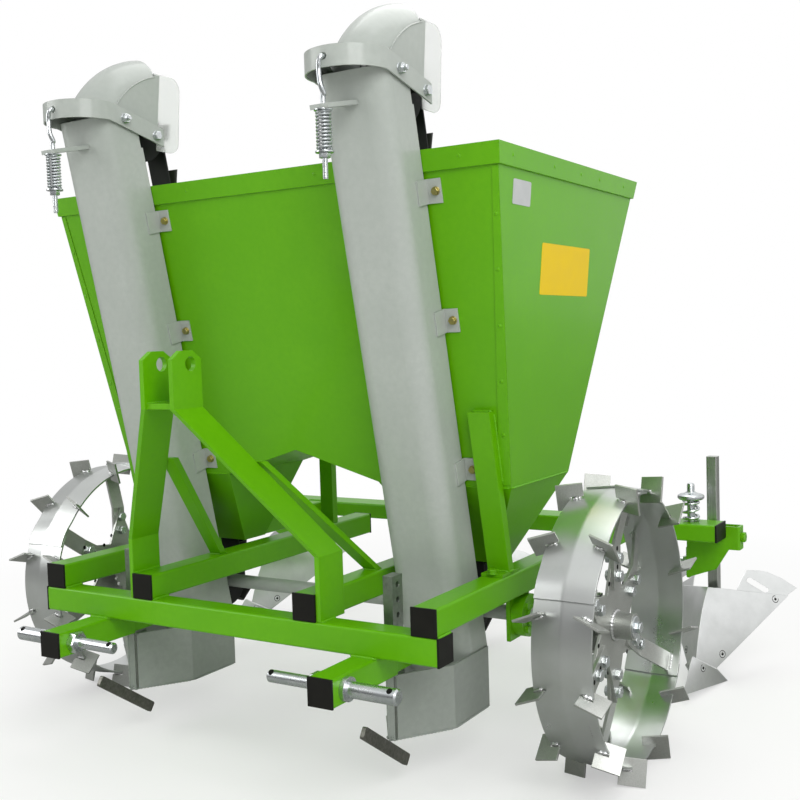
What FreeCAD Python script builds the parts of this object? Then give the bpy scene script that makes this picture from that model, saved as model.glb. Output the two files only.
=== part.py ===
import FreeCAD, Part
import Sketcher
import math
import os
from FreeCAD import Placement, Rotation, Vector

# Two-row potato planter for a tractor's three-point linkage.
# X runs across the machine (+X is its right side seen from the front), Y runs rearwards, Z runs up.
# Working positions along Y are measured from the front face of the front cross beam, and working heights
# from a level a little below the floor, one lug radius under the axle. Every piece is then moved by
# CENTRE_Y and FLOOR_RISE, so that the origin lies on the floor below the middle of the machine.

DIMENSIONS = [
    ("beam_size", 50, "square tube of the main frame"),
    ("beam_wall", 3, "wall of the frame tubes"),
    ("beam_corner", 5, "outer corner radius of the frame tubes"),
    ("cap_thick", 4, "plastic end caps"),
    ("frame_half", 475, "middle of the machine to the outer face of the outer beams"),
    ("row_half", 325, "middle of the machine to a row of tubers"),
    ("rim_radius", 258, "drive wheel rim"),
    ("rim_width", 110, "drive wheel rim, side to side"),
    ("rim_sheet", 4, "drive wheel rim plate"),
    ("wheel_gap", 115, "outer face of the frame to a wheel's inner edge"),
    ("wheel_inner_x", "=frame_half + wheel_gap", "middle of the machine to a wheel's inner edge"),
    ("lug_size", 50, "side of a square lug plate"),
    ("lug_thick", 4, "lug plate"),
    ("lug_skew", 22, "turn of a lug out of the axle's plane, degrees"),
    ("axle_height", "=rim_radius + lug_size / 2", "axle above the working level"),
    ("beam_over_axle", 47, "front cross beam's top face above the axle"),
    ("front_beam_top", "=axle_height + beam_over_axle", "height of the front cross beam's top face"),
    ("beam_top", "=front_beam_top + beam_size", "height of the long beams' top faces"),
    ("inner_beam_end", 800, "rear end of the inner beams"),
    ("rear_beam_front", 937, "front face of the rear beam"),
    ("rear_beam_depth", 80, "rear beam, front to back"),
    ("rear_beam_height", 40, "rear beam, top to bottom"),
    ("rear_beam_half", 680, "half the length of the rear beam"),
    ("hitch_reach", 130, "front beam to the front of a lower hitch bracket"),
    ("hitch_tail", 75, "rear end of a lower hitch bracket"),
    ("hitch_pin_y", 90, "hitch pins ahead of the front beam"),
    ("outer_pin_dia", 28, "outer lower hitch pin"),
    ("inner_pin_dia", 22, "inner lower hitch pin"),
    ("pin_core_dia", 24, "pin where it passes through its bracket"),
    ("outer_pin_free", 95, "free length of the outer pin"),
    ("inner_pin_free", 95, "free length of the inner pin"),
    ("pin_collar_dia", 42, "collar of a hitch pin"),
    ("pin_collar", 9, "collar, side to side"),
    ("pin_nut_dia", 36, "nut of a hitch pin"),
    ("pin_nut", 16, "nut, side to side"),
    ("leg_width", 75, "headstock leg, front to back"),
    ("leg_thick", 10, "headstock leg plate"),
    ("leg_knee_height", 118, "knee of a leg above the front beam"),
    ("leg_neck_height", 391, "spacer plate above the front beam"),
    ("leg_tip_height", 494, "tip of a leg above the front beam"),
    ("leg_gap_half", 30, "middle of the machine to a leg's inner face at the top"),
    ("leg_top_y", 103, "top of the headstock ahead of the front beam"),
    ("top_hole_dia", 26, "top link hole"),
    ("top_hole_height", 470, "top link hole above the front beam"),
    ("top_hole_setback", 9, "top link hole behind the middle of a leg"),
    ("brace_width", 30, "headstock brace, side to side"),
    ("brace_thick", 18, "headstock brace where it meets beam and leg"),
    ("brace_foot_y", 232, "foot of a brace on the inner beam"),
    ("brace_share", 0.62, "brace's upper end, as a share of the leg's slope"),
    ("rim_height", 1165, "top of the hopper rim"),
    ("hopper_clear", 168, "hopper's lower edge above the long beams"),
    ("hopper_floor", "=beam_top + hopper_clear", "lower edge of the hopper walls"),
    ("hopper_over_frame", 14, "hopper's lower edge outside the frame"),
    ("hopper_flare", 56, "widening of the hopper from its lower edge to its rim, each side"),
    ("hopper_half_low", "=frame_half + hopper_over_frame", "half width of the hopper at its lower edge"),
    ("hopper_half_top", "=hopper_half_low + hopper_flare", "half width of the hopper at its rim"),
    ("hopper_front_y", 135, "front wall at the rim"),
    ("hopper_rear_y", 818, "rear wall at the rim"),
    ("hopper_rear_low", 542, "rear wall at its lower edge"),
    ("front_slope", 0.22, "front wall, rearward drop per unit of height"),
    ("sheet", 3, "hopper sheet"),
    ("rim_band", 38, "height of the rim band"),
    ("rim_fold", 5, "rim band outside the walls"),
    ("funnel_margin", 130, "row to the funnel's inner edge at its top"),
    ("notch_half", "=row_half - funnel_margin", "half width of the raised floor between the funnels"),
    ("notch_rise", 60, "height of the raised floor"),
    ("funnel_over_axle", 92, "lower edge of a funnel above the axle"),
    ("funnel_low", "=axle_height + funnel_over_axle", "lower edge of a funnel"),
    ("funnel_low_half", 62, "half width of a funnel's outlet"),
    ("funnel_setback", 89.2, "funnel's outlet behind the plane of the front wall"),
    ("funnel_outlet", 74, "funnel's outlet, front to back"),
    ("post_width", 45, "hopper post, side to side"),
    ("post_depth", 20, "hopper post, front to back"),
    ("post_inset", 2.5, "front post inside the frame's outer face"),
    ("post_plate", 6, "plate below a front post"),
    ("post_plate_length", 70, "plate below a front post, front to back"),
    ("post_overlap", 146, "top of a front post above the hopper's lower edge"),
    ("rear_post_width", 36, "rear hopper post, side to side"),
    ("rear_post_y", 640, "front face of a rear hopper post"),
    ("tube_half", 71, "half width of a seed tube"),
    ("tube_depth", 95, "seed tube, front to back"),
    ("tube_bend", 36, "bend radius of a seed tube's front corners"),
    ("tube_sheet", 2.5, "seed tube sheet"),
    ("tube_lip", 20, "return lip at each rear edge of a seed tube"),
    ("tube_back_gap", 6.5, "seed tube to the hopper's front wall"),
    ("tube_top", 150, "top of a seed tube above the hopper rim, along the tube"),
    ("tube_bare_top", 70, "length without return lips at a seed tube's top"),
    ("tube_end", 203, "height of a seed tube's lower end"),
    ("tube_to_beam", 29, "seed tube to the inner beam beside it"),
    ("inner_beam_x", "=row_half - tube_half - tube_to_beam - beam_size / 2",
     "middle of the machine to the middle of an inner beam"),
    ("clip_height", 44, "tube clip, along the tube"),
    ("clip_reach", 30, "tube clip beside the tube"),
    ("clip_leg", 34, "tube clip's leg on the tube's side"),
    ("clip_sheet", 3, "tube clip sheet"),
    ("clip_first", 95, "first clip's lower edge below the rim, along the tube"),
    ("clip_last", 13.8, "last clip's lower edge above the hopper's lower edge, along the tube"),
    ("clip_middle", 0.45, "middle clip, as a share of the way from the first to the last"),
    ("head_pipe_radius", 60, "pipe of a tube head"),
    ("head_bend_radius", 186, "middle of the pipe to the centre of its bend"),
    ("head_metal", 3, "tube head sheet"),
    ("head_bend_back", 83, "centre of the bend behind the hopper rim's front"),
    ("head_bend_rise", 34, "centre of the bend above the hopper rim"),
    ("head_seam_out", 19, "seam of hood and side plates outside the middle of the pipe"),
    ("head_rear_back", 32, "rear end of a head's hood behind the hopper rim's front"),
    ("head_rear_lean", 14, "lean of a head's rear edge, over its height"),
    ("head_band_radius", 77, "band round the foot of a tube head"),
    ("head_band_height", 36, "height of that band"),
    ("head_band_ahead", 115, "centre of the band ahead of the hopper rim's front"),
    ("head_band_rise", 119, "lower edge of the band above the hopper rim"),
    ("head_ledge_rise", 32, "ledge inside the band above the band's lower edge"),
    ("head_rear_drop", 34, "fall of a head's lower edge from its band to its rear"),
    ("guard_sheet", 2, "clear guard"),
    ("guard_reach", 65, "clear guard behind the hood's rear end"),
    ("guard_height", 161, "clear guard, top to bottom"),
    ("guard_rise", 79, "lower edge of a guard above the hopper rim"),
    ("guard_corner", 26, "corner radius of a guard"),
    ("guard_lap", 26, "guard inside the head's side plate"),
    ("rod_dia", 9, "head tension rod"),
    ("rod_gap", 0.2, "tension rod to the head's band"),
    ("rod_tail", 34.3, "tension rod below its nut"),
    ("tension_plate", 8, "plate that the tension spring pushes on"),
    ("tension_plate_width", 36, "that plate, side to side"),
    ("tension_plate_reach", 92, "that plate ahead of the tube"),
    ("tension_plate_rise", 92, "that plate above the rim, along the tube"),
    ("tension_spring_dia", 28, "tension spring"),
    ("tension_spring_bore", 16, "inside of a tension spring"),
    ("tension_spring_length", 66, "tension spring, loaded"),
    ("shaft_dia", 30, "cross shaft"),
    ("pulley_radius", 57, "belt pulley"),
    ("pulley_shoulder", 3, "pulley beyond each edge of its belt"),
    ("top_pin_dia", 16, "pin of the top pulley"),
    ("top_pin_stand", 2.8, "top pulley's pin beyond the side plates"),
    ("belt_thick", 4, "cup belt"),
    ("belt_width", 52, "cup belt, side to side"),
    ("belt_gap", 12, "front run of a belt ahead of the hopper wall"),
    ("cup_pitch", 94, "cup to cup along the belt"),
    ("top_pulley_rise", 108, "top pulley above the hopper rim, along the tube"),
    ("turning_gap", 0.3, "between a turning piece and its seat, on the radius"),
    ("bearing_plate", 8, "hanger plate of a shaft bearing"),
    ("bearing_width", 90, "hanger plate, front to back"),
    ("bearing_dia", 84, "housing of a shaft bearing"),
    ("bearing_depth", 24, "housing, side to side"),
    ("boot_half", 76, "half width of an opener boot"),
    ("boot_setback", 12, "boot's rear edge ahead of the front wall's plane"),
    ("boot_length", 253, "opener boot, nose to rear edge"),
    ("boot_cheek", 140, "straight side of an opener boot"),
    ("boot_low", 104, "lower edge of an opener boot"),
    ("boot_gap", 6, "opener boot below its hitch bracket"),
    ("boot_top", "=front_beam_top - 2 * beam_size - boot_gap", "upper edge of an opener boot"),
    ("boot_sheet", 5, "opener boot plate"),
    ("bar_width", 35, "depth bar, front to back"),
    ("bar_thick", 20, "depth bar, side to side"),
    ("bar_setback", 11, "depth bar behind the boot's nose"),
    ("bar_over_beam", 75, "top of a depth bar above the front beam"),
    ("bar_hole_dia", 11, "setting holes of a depth bar"),
    ("bar_hole_pitch", 28, "setting hole to setting hole"),
    ("clamp_width", 36, "depth bar clamp, side to side"),
    ("clamp_step", 3, "depth bar clamp inside the hitch bracket's top and bottom faces"),
    ("clamp_height", "=beam_size - 2 * clamp_step", "depth bar clamp, top to bottom"),
    ("clamp_wall", 12, "clamp behind the depth bar"),
    ("knife_slope", 34.7, "fall of an opener knife to the rear, degrees"),
    ("knife_length", 174, "opener knife"),
    ("knife_width", 22, "opener knife, top to bottom"),
    ("knife_thick", 8, "opener knife, side to side"),
    ("knife_corner", 4, "rounded corners of a knife"),
    ("shank_size", 25, "square ridger shank"),
    ("shank_over_beam", 150, "top of a ridger shank above the long beams"),
    ("shank_low", 70, "lower end of a ridger shank"),
    ("shank_corner", 3, "corner radius of a ridger shank"),
    ("ridger_x", 650, "middle of the machine to an outer ridger"),
    ("holder_plate", 6, "plates of a ridger holder"),
    ("holder_length", 126, "strap of a ridger holder, side to side"),
    ("holder_height", 55, "strap of a ridger holder, top to bottom"),
    ("holder_flange", 75, "flange below the strap"),
    ("holder_drop", 14, "top of a strap below the long beams' top"),
    ("holder_inside", 60, "strap's flanged end from the middle of the shank"),
    ("trip_offset", 37, "trip rod beside the middle of its shank"),
    ("trip_rod_dia", 18, "trip rod"),
    ("trip_rod_length", 91, "trip rod above the rear beam"),
    ("trip_washer_dia", 62, "domed washer on a trip rod"),
    ("trip_washer", 16, "domed washer, top to bottom"),
    ("trip_spring_dia", 40, "trip spring"),
    ("trip_spring_bore", 28, "inside of a trip spring"),
    ("trip_spring_length", 51.4, "trip spring, loaded"),
    ("star_radius", 150, "tips of a wheel's star plate"),
    ("star_root", 74, "notches of a wheel's star plate"),
    ("star_plate", 6, "star plate"),
    ("boss_dia", 50, "boss of a wheel"),
    ("boss_inner", 38, "boss inside the wheel's middle plane"),
    ("boss_outer", 41, "boss outside the wheel's middle plane"),
    ("ratchet_dia", 104, "toothed disc on a wheel's boss"),
    ("ratchet_thick", 8, "toothed disc, side to side"),
    ("spoke_width", 36, "wheel spoke"),
    ("spoke_thick", 6, "wheel spoke plate"),
    ("spoke_start", 70, "inner end of a spoke from the axle"),
    ("spoke_inset", 27, "spoke's outer end inside the rim's edge"),
]

doc = FreeCAD.newDocument("potato_planter")
sheet = doc.addObject("Spreadsheet::Sheet", "Sizes")
for row, (alias, value, note) in enumerate(DIMENSIONS, start=1):
    sheet.set("A%d" % row, alias)
    sheet.set("C%d" % row, note)
    sheet.setAlias("B%d" % row, alias)
for row, (alias, value, note) in enumerate(DIMENSIONS, start=1):
    sheet.set("B%d" % row, str(value))
doc.recompute()


def size(alias):
    return float(sheet.get(alias))


def prism(points, direction):
    """A straight solid whose end face has the given corners."""
    outline = Part.makePolygon([Vector(*point) for point in points + points[:1]])
    return Part.Face(outline).extrude(Vector(*direction))


# Nose and rear edge of a ridger body, from the top down, as (x, y, z): x right of the shank's plane,
# y behind the rear beam's rear face, z above the working level.
BOARD_NOSE = [(0, -38, 226), (0, -95, 170), (0, -130, 104), (0, -155, 40)]
BOARD_REAR = [(150, 113, 187), (111, 42, 141), (71, -29, 96), (20, -120, 36)]
BOARD_THICK = 4
PLATE_GAP = 0.3
STRETCH = 1.5
WING_OUTLINE = [(48, 195), (61.2, 249), (85, 245.5), (101.6, 240.5), (130.3, 225.5), (164.1, 200.5),
                (149.3, 188.9), (98, 128)]
WING_RISE = 110
SLOT_START = (70.5, 228.5)
SLOT_END = (106, 203.5)
SLOT_WIDTH = 10
BOARD_OUTLINE = [(0, 80), (0, 240), (150, 187), (32, 50)]
SHARE_THICK = 6

REAR_FACE = size("rear_beam_front") + size("rear_beam_depth")


def behind_beam(points):
    """Corners given from the rear beam's rear face, as vectors in working positions."""
    return [Vector(x, REAR_FACE + y, z) for x, y, z in points]


def board_curves():
    """The nose line, and a line past the rear edge, each from the top down."""
    nose = behind_beam(BOARD_NOSE)
    rear = behind_beam(BOARD_REAR)
    far = [start + (end - start) * STRETCH for start, end in zip(nose, rear)]
    curves = []
    for points in (nose, far):
        curve = Part.BSplineCurve()
        curve.interpolate(points)
        curves.append(curve)
    return curves


def board_face():
    """Ruled face through the nose line and the rear edge, carried on past the rear edge."""
    nose, far = board_curves()
    return Part.makeRuledSurface(nose.toShape(), far.toShape())


def face_above_board():
    """The board's face carried on upwards from its top edge, straight along its own slope."""
    edges = []
    for curve in board_curves():
        top = curve.value(curve.FirstParameter)
        downward = curve.tangent(curve.FirstParameter)[0]
        edges.append((top, top - downward * WING_RISE))
    (near_top, near_high), (far_top, far_high) = edges
    return Part.makeRuledSurface(Part.makeLine(near_top, far_top), Part.makeLine(near_high, far_high))


def outline_prism(points):
    """A long prism along Y through an outline of (x, z) corners."""
    far = 2 * REAR_FACE
    return prism([(x, 0, z) for x, z in points], (0, far, 0))


def slot_prism():
    """A long prism along Y through the wing's setting slot, a straight slot with round ends."""
    start = Vector(SLOT_START[0], 0, SLOT_START[1])
    end = Vector(SLOT_END[0], 0, SLOT_END[1])
    along = (end - start).normalize()
    side = Vector(along.z, 0, -along.x) * (SLOT_WIDTH / 2)
    edges = [
        Part.LineSegment(start + side, end + side).toShape(),
        Part.Arc(end + side, end + along * (SLOT_WIDTH / 2), end - side).toShape(),
        Part.LineSegment(end - side, start - side).toShape(),
        Part.Arc(start - side, start - along * (SLOT_WIDTH / 2), start + side).toShape(),
    ]
    return Part.Face(Part.Wire(edges)).extrude(Vector(0, 2 * REAR_FACE, 0))


def wing_plate():
    """Upper extension behind a mouldboard, parallel to it, with a setting slot."""
    lower = board_face().extrude(Vector(0, BOARD_THICK, 0))
    upper = face_above_board().extrude(Vector(0, BOARD_THICK, 0))
    plate = lower.fuse(upper).removeSplitter()
    plate.translate(Vector(0, BOARD_THICK + PLATE_GAP, 0))
    return plate.common(outline_prism(WING_OUTLINE)).cut(slot_prism())


# Values worked out from the sheet, used where a piece seats on or lines up with another.
LEG_FRONT = size("leg_top_y") + size("leg_width") / 2
CENTRE_Y = (wing_plate().optimalBoundingBox(False).YMax - LEG_FRONT) / 2
BEAM_TOP = size("beam_top")
TILT = math.degrees(math.atan(size("front_slope")))
SINE = math.sin(math.radians(TILT))
COSINE = math.cos(math.radians(TILT))
LUG_REACH = size("axle_height")
AXLE_Z = size("axle_height")
LUG_STATIONS = 12
LUG_SWING = (size("lug_size") * math.sin(math.radians(size("lug_skew")))
             + size("lug_thick") * math.cos(math.radians(size("lug_skew")))) / 2
LUG_CORNER = math.hypot(LUG_REACH, LUG_SWING)
LOWEST_LUG = math.pi / LUG_STATIONS - math.atan(LUG_SWING / LUG_REACH)
FLOOR_RISE = AXLE_Z - LUG_CORNER * math.cos(LOWEST_LUG)
BELT_CENTRE = size("pulley_radius") - size("belt_gap")
WHEEL_MIDDLE = size("wheel_inner_x") + size("rim_width") / 2

pieces = []


def wall_y(height):
    """Front face of the hopper's front wall at a height above the working level."""
    return size("hopper_front_y") + size("front_slope") * (size("rim_height") - height)


AXLE_Y = wall_y(AXLE_Z) + BELT_CENTRE / COSINE
TUBE_LOW = (size("rim_height") - size("tube_end")) / COSINE
BOOT_REAR = wall_y(size("boot_top")) - size("boot_setback")
BOOT_NOSE = BOOT_REAR - size("boot_length")
BAR_FRONT = BOOT_NOSE + size("bar_setback")


def at(x, y, z, rotation=Rotation()):
    """A placement given in working positions."""
    return Placement(Vector(x, y - CENTRE_Y, z - FLOOR_RISE), rotation)


def row_frame(x):
    """Frame of a seed tube: X across, Y square to the hopper's front wall, Z up along it."""
    return at(x, size("hopper_front_y"), size("rim_height"), Rotation(Vector(1, 0, 0), TILT))


def rows():
    """The middles of the two rows."""
    return (-size("row_half"), size("row_half"))


def keep(thing, label):
    """Names a finished sub-part and puts it on the export list."""
    thing.Label = label
    pieces.append(thing)
    return thing


def feature(label, shape, placement, export=True):
    """A sub-part whose outline no primitive gives."""
    thing = doc.addObject("Part::Feature", label)
    thing.Shape = shape
    thing.Placement = placement * shape.Placement
    thing.Label = label
    if export:
        pieces.append(thing)
    return thing


def mirrored(source, label, export=True):
    """The same piece on the other side of the machine."""
    twin = doc.addObject("Part::Mirroring", label)
    twin.Source = source
    twin.Normal = Vector(1, 0, 0)
    twin.Label = label
    if export:
        pieces.append(twin)
    return twin


def together(label, members):
    """Like pieces that share one node."""
    group = doc.addObject("Part::Compound", label)
    group.Links = members
    return keep(group, label)


def mirrored_pair(label, source):
    return together(label, [source, mirrored(source, label + "_other", export=False)])


def bind(thing, **sizes):
    """Ties an object's properties to cells of the sheet."""
    for name, formula in sizes.items():
        words = [sheet_word(word) for word in formula.split(" ")]
        thing.setExpression(name, " ".join(words))


ALIASES = {alias for alias, _, _ in DIMENSIONS}


def sheet_word(word):
    return "Sizes." + word if word in ALIASES else word


def box(name, length, width, height, placement):
    """A plain block from its lower corner; sizes are formulas in sheet words."""
    block = doc.addObject("Part::Box", name)
    bind(block, Length=length, Width=width, Height=height)
    block.Placement = placement
    return block


def rod(name, diameter, length, placement):
    """A round bar along its own Z axis."""
    bar = doc.addObject("Part::Cylinder", name)
    bind(bar, Radius=diameter + " / 2", Height=length)
    bar.Placement = placement
    return bar


def cut(name, base, tool):
    result = doc.addObject("Part::Cut", name)
    result.Base = base
    result.Tool = tool
    return result


def fuse(name, members):
    result = doc.addObject("Part::MultiFuse", name)
    result.Shapes = members
    result.Refine = True
    return result


def pipe(name, outside, inside, length, placement):
    """A round tube along its own Z axis."""
    return cut(name, rod(name + "_outside", outside, length, placement),
               rod(name + "_bore", inside, length, placement))


def rectangle(sketch, width, height, prefix):
    """A rectangle about the sketch's origin, held by two named sizes."""
    corners = [Vector(-1, -1, 0), Vector(1, -1, 0), Vector(1, 1, 0), Vector(-1, 1, 0)]
    first = sketch.GeometryCount
    for turn in range(4):
        sketch.addGeometry(Part.LineSegment(corners[turn] * 20, corners[(turn + 1) % 4] * 20), False)
    for turn in range(4):
        joint = ("Coincident", first + turn, 2, first + (turn + 1) % 4, 1)
        sketch.addConstraint(Sketcher.Constraint(*joint))
    for turn, kind in enumerate(("Horizontal", "Vertical", "Horizontal", "Vertical")):
        sketch.addConstraint(Sketcher.Constraint(kind, first + turn))
    sketch.addConstraint(Sketcher.Constraint("Symmetric", first, 1, first + 2, 1, -1, 1))
    across = sketch.addConstraint(Sketcher.Constraint("DistanceX", first, 1, first, 2, 40))
    upright = sketch.addConstraint(Sketcher.Constraint("DistanceY", first + 1, 1, first + 1, 2, 40))
    sketch.renameConstraint(across, prefix + "Width")
    sketch.renameConstraint(upright, prefix + "Height")
    bind(sketch, **{"Constraints." + prefix + "Width": width})
    bind(sketch, **{"Constraints." + prefix + "Height": height})


def plane_of(body, role):
    return next(plane for plane in body.Origin.OriginFeatures if plane.Role == role)


def square_tube(label, width, height, length, placement):
    """A hollow rectangular tube along its own Z axis, with rounded long edges."""
    body = doc.addObject("PartDesign::Body", label)
    sketch = body.newObject("Sketcher::SketchObject", label + "_section")
    sketch.AttachmentSupport = (plane_of(body, "XY_Plane"), [""])
    sketch.MapMode = "FlatFace"
    rectangle(sketch, width, height, "Outer")
    rectangle(sketch, width + " - 2 * beam_wall", height + " - 2 * beam_wall", "Inner")
    pad = body.newObject("PartDesign::Pad", label + "_pad")
    pad.Profile = sketch
    bind(pad, Length=length)
    doc.recompute()
    corners = outer_long_edges(pad.Shape)
    rounding = body.newObject("PartDesign::Fillet", label + "_rounding")
    rounding.Base = (pad, corners)
    bind(rounding, Radius="beam_corner")
    body.Tip = rounding
    body.Placement = placement
    return body


def outer_long_edges(shape):
    """The four edges along Z that lie furthest from the axis."""
    found = []
    for index, edge in enumerate(shape.Edges, start=1):
        ends = [vertex.Point for vertex in edge.Vertexes]
        if len(ends) == 2 and abs(ends[0].z - ends[1].z) > 1:
            found.append((math.hypot(ends[0].x, ends[0].y), "Edge%d" % index))
    return [name for _, name in sorted(found)[-4:]]


def slab_loft(sections):
    """A solid through level rectangles: each is (x, y, z, half width in x, half depth in y)."""
    wires = []
    for x, y, z, half_x, half_y in sections:
        corners = [
            Vector(x - half_x, y - half_y, z),
            Vector(x + half_x, y - half_y, z),
            Vector(x + half_x, y + half_y, z),
            Vector(x - half_x, y + half_y, z),
        ]
        wires.append(Part.makePolygon(corners + corners[:1]))
    return Part.makeLoft(wires, True, True)


# ---- Main frame: a front cross beam below four beams that run rearwards, and a wide rear beam ----

ALONG_X = Rotation(Vector(0, 1, 0), 90)
ALONG_Y = Rotation(Vector(1, 0, 0), -90)


def front_beam():
    middle_z = size("front_beam_top") - size("beam_size") / 2
    seat = at(-size("frame_half"), size("beam_size") / 2, middle_z, ALONG_X)
    keep(square_tube("front_beam", "beam_size", "beam_size", "2 * frame_half", seat), "front_beam")


def long_beams():
    middle_z = BEAM_TOP - size("beam_size") / 2
    outer_x = size("frame_half") - size("beam_size") / 2
    outer_length = "rear_beam_front - cap_thick"
    inner_length = "inner_beam_end - 2 * cap_thick"
    for name, x, length in (("outer", outer_x, outer_length), ("inner", size("inner_beam_x"), inner_length)):
        seat = at(x, size("cap_thick"), middle_z, ALONG_Y)
        right = keep(square_tube("right_%s_beam" % name, "beam_size", "beam_size", length, seat),
                     "right_%s_beam" % name)
        mirrored(right, "left_%s_beam" % name)


def rear_beam():
    middle_y = size("rear_beam_front") + size("rear_beam_depth") / 2
    middle_z = BEAM_TOP - size("rear_beam_height") / 2
    seat = at(-size("rear_beam_half"), middle_y, middle_z, ALONG_X)
    tube = square_tube("rear_beam", "rear_beam_height", "rear_beam_depth", "2 * rear_beam_half", seat)
    keep(tube, "rear_beam")


def end_caps():
    """Flat plastic plugs over every open tube end."""
    thick = size("cap_thick")
    beam = size("beam_size")
    outer_x = size("frame_half") - beam / 2
    hitch_z = size("front_beam_top") - beam
    caps = [
        box("front_beam_cap", "cap_thick", "beam_size", "beam_size", at(size("frame_half"), 0, hitch_z)),
        box("outer_cap", "beam_size", "cap_thick", "beam_size", at(outer_x - beam / 2, 0, BEAM_TOP - beam)),
        box("inner_cap", "beam_size", "cap_thick", "beam_size",
            at(size("inner_beam_x") - beam / 2, 0, BEAM_TOP - beam)),
        box("inner_rear_cap", "beam_size", "cap_thick", "beam_size",
            at(size("inner_beam_x") - beam / 2, size("inner_beam_end") - thick, BEAM_TOP - beam)),
        box("hitch_cap", "beam_size", "cap_thick", "beam_size",
            at(size("row_half") - beam / 2, -size("hitch_reach"), hitch_z - beam)),
        box("rear_beam_cap", "cap_thick", "rear_beam_depth", "rear_beam_height",
            at(size("rear_beam_half"), size("rear_beam_front"), BEAM_TOP - size("rear_beam_height"))),
    ]
    others = [mirrored(cap, cap.Name + "_other", export=False) for cap in caps]
    together("beam_end_caps", caps + others)


# ---- Lower hitch: a bracket under the front beam on each row, with a two-size pin through it ----

def hitch_bracket():
    middle_z = size("front_beam_top") - 1.5 * size("beam_size")
    start = size("cap_thick") - size("hitch_reach")
    seat = at(size("row_half"), start, middle_z, ALONG_Y)
    length = "hitch_reach + hitch_tail - cap_thick"
    tube = square_tube("hitch_tube", "beam_size", "beam_size", length, seat)
    start_x = size("row_half") - size("beam_size")
    bore_seat = at(start_x, -size("hitch_pin_y"), middle_z, ALONG_X)
    bore = rod("hitch_bore", "( pin_core_dia + 0.4 )", "2 * beam_size", bore_seat)
    right = keep(cut("right_hitch_bracket", tube, bore), "right_hitch_bracket")
    mirrored(right, "left_hitch_bracket")


def hitch_pin():
    """Turned pin: thin end inwards, core through the bracket, collar, thick end outwards."""
    half = size("beam_size") / 2
    collar = size("pin_collar")
    collar_radius = size("pin_collar_dia") / 2
    nut = size("pin_nut")
    nut_radius = size("pin_nut_dia") / 2
    chamfer = 3
    inner = size("inner_pin_dia") / 2
    outer = size("outer_pin_dia") / 2
    core = size("pin_core_dia") / 2
    start = -half - nut - size("inner_pin_free")
    profile = [
        (start, 0), (start, inner - chamfer), (start + chamfer, inner), (-half - nut, inner),
        (-half - nut, nut_radius), (-half, nut_radius), (-half, core), (half, core),
        (half, collar_radius), (half + collar, collar_radius), (half + collar, outer),
        (half + collar + size("outer_pin_free") - chamfer, outer),
        (half + collar + size("outer_pin_free"), outer - chamfer),
        (half + collar + size("outer_pin_free"), 0),
    ]
    outline = Part.makePolygon([Vector(x, 0, radius) for x, radius in profile + profile[:1]])
    solid = Part.Face(outline).revolve(Vector(0, 0, 0), Vector(1, 0, 0), 360)
    middle_z = size("front_beam_top") - 1.5 * size("beam_size")
    right = feature("right_hitch_pin", solid, at(size("row_half"), -size("hitch_pin_y"), middle_z))
    mirrored(right, "left_hitch_pin")


# ---- Headstock: two cranked flat bars from the inner beams to the top link holes ----

def headstock_leg():
    half_thick = size("leg_thick") / 2
    half_width = size("leg_width") / 2
    base = size("front_beam_top")
    foot_x = size("inner_beam_x") + size("beam_size") / 2 + half_thick
    foot_y = size("cap_thick") + half_width
    top_x = size("leg_gap_half") + half_thick
    top_y = -size("leg_top_y")
    knee_z = base + size("leg_knee_height")
    neck_z = base + size("leg_neck_height")
    tip_z = base + size("leg_tip_height")
    shoulder = 15
    tip_share = 0.4
    foot = slab_loft([(foot_x, foot_y, base, half_thick, half_width),
                      (foot_x, foot_y, knee_z, half_thick, half_width)])
    shin = slab_loft([(foot_x, foot_y, knee_z, half_thick, half_width),
                      (top_x, top_y, neck_z, half_thick, half_width)])
    neck = slab_loft([(top_x, top_y, neck_z, half_thick, half_width),
                      (top_x, top_y, tip_z - shoulder, half_thick, half_width)])
    crown = slab_loft([(top_x, top_y, tip_z - shoulder, half_thick, half_width),
                       (top_x, top_y, tip_z, half_thick, half_width * tip_share)])
    leg = foot.fuse([shin, neck, crown]).removeSplitter()
    through = 4 * size("leg_thick")
    hole_start = Vector(top_x - through / 2, top_y + size("top_hole_setback"), base + size("top_hole_height"))
    hole = Part.makeCylinder(size("top_hole_dia") / 2, through, hole_start, Vector(1, 0, 0))
    right = feature("right_headstock_leg", leg.cut(hole), at(0, 0, 0))
    mirrored(right, "left_headstock_leg")


def headstock_spacer():
    setback = size("leg_thick") / 2
    seat = at(-size("leg_gap_half"), setback - size("leg_top_y") - size("leg_width") / 2,
              size("front_beam_top") + size("leg_neck_height"))
    plate = box("headstock_spacer", "2 * leg_gap_half", "leg_width - leg_thick", "leg_thick", seat)
    keep(plate, "headstock_spacer")


def headstock_braces():
    """A flat bar from the rear edge of each leg down to the inner beam."""
    knee_z = size("front_beam_top") + size("leg_knee_height")
    neck_z = size("front_beam_top") + size("leg_neck_height")
    foot_x = size("inner_beam_x") + size("beam_size") / 2 + size("leg_thick") / 2
    top_x = size("leg_gap_half") + size("leg_thick") / 2
    share = size("brace_share")
    start_x = foot_x + share * (top_x - foot_x)
    rear = size("cap_thick") + size("leg_width")
    start_y = rear + share * (-size("leg_top_y") + size("leg_width") / 2 - rear)
    start_z = knee_z + share * (neck_z - knee_z)
    half_thick = size("brace_thick") / 2
    half_width = size("brace_width") / 2
    bar = slab_loft([(size("inner_beam_x"), size("brace_foot_y"), BEAM_TOP, half_width, half_thick),
                     (start_x, start_y + half_thick, start_z, half_width, half_thick)])
    right = feature("headstock_brace", bar, at(0, 0, 0), export=False)
    mirrored_pair("headstock_braces", right)


SEAT_GAP = 0.2


# ---- Hopper: four sheet walls, a rim band, a raised floor between two funnels, and its posts ----

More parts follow.
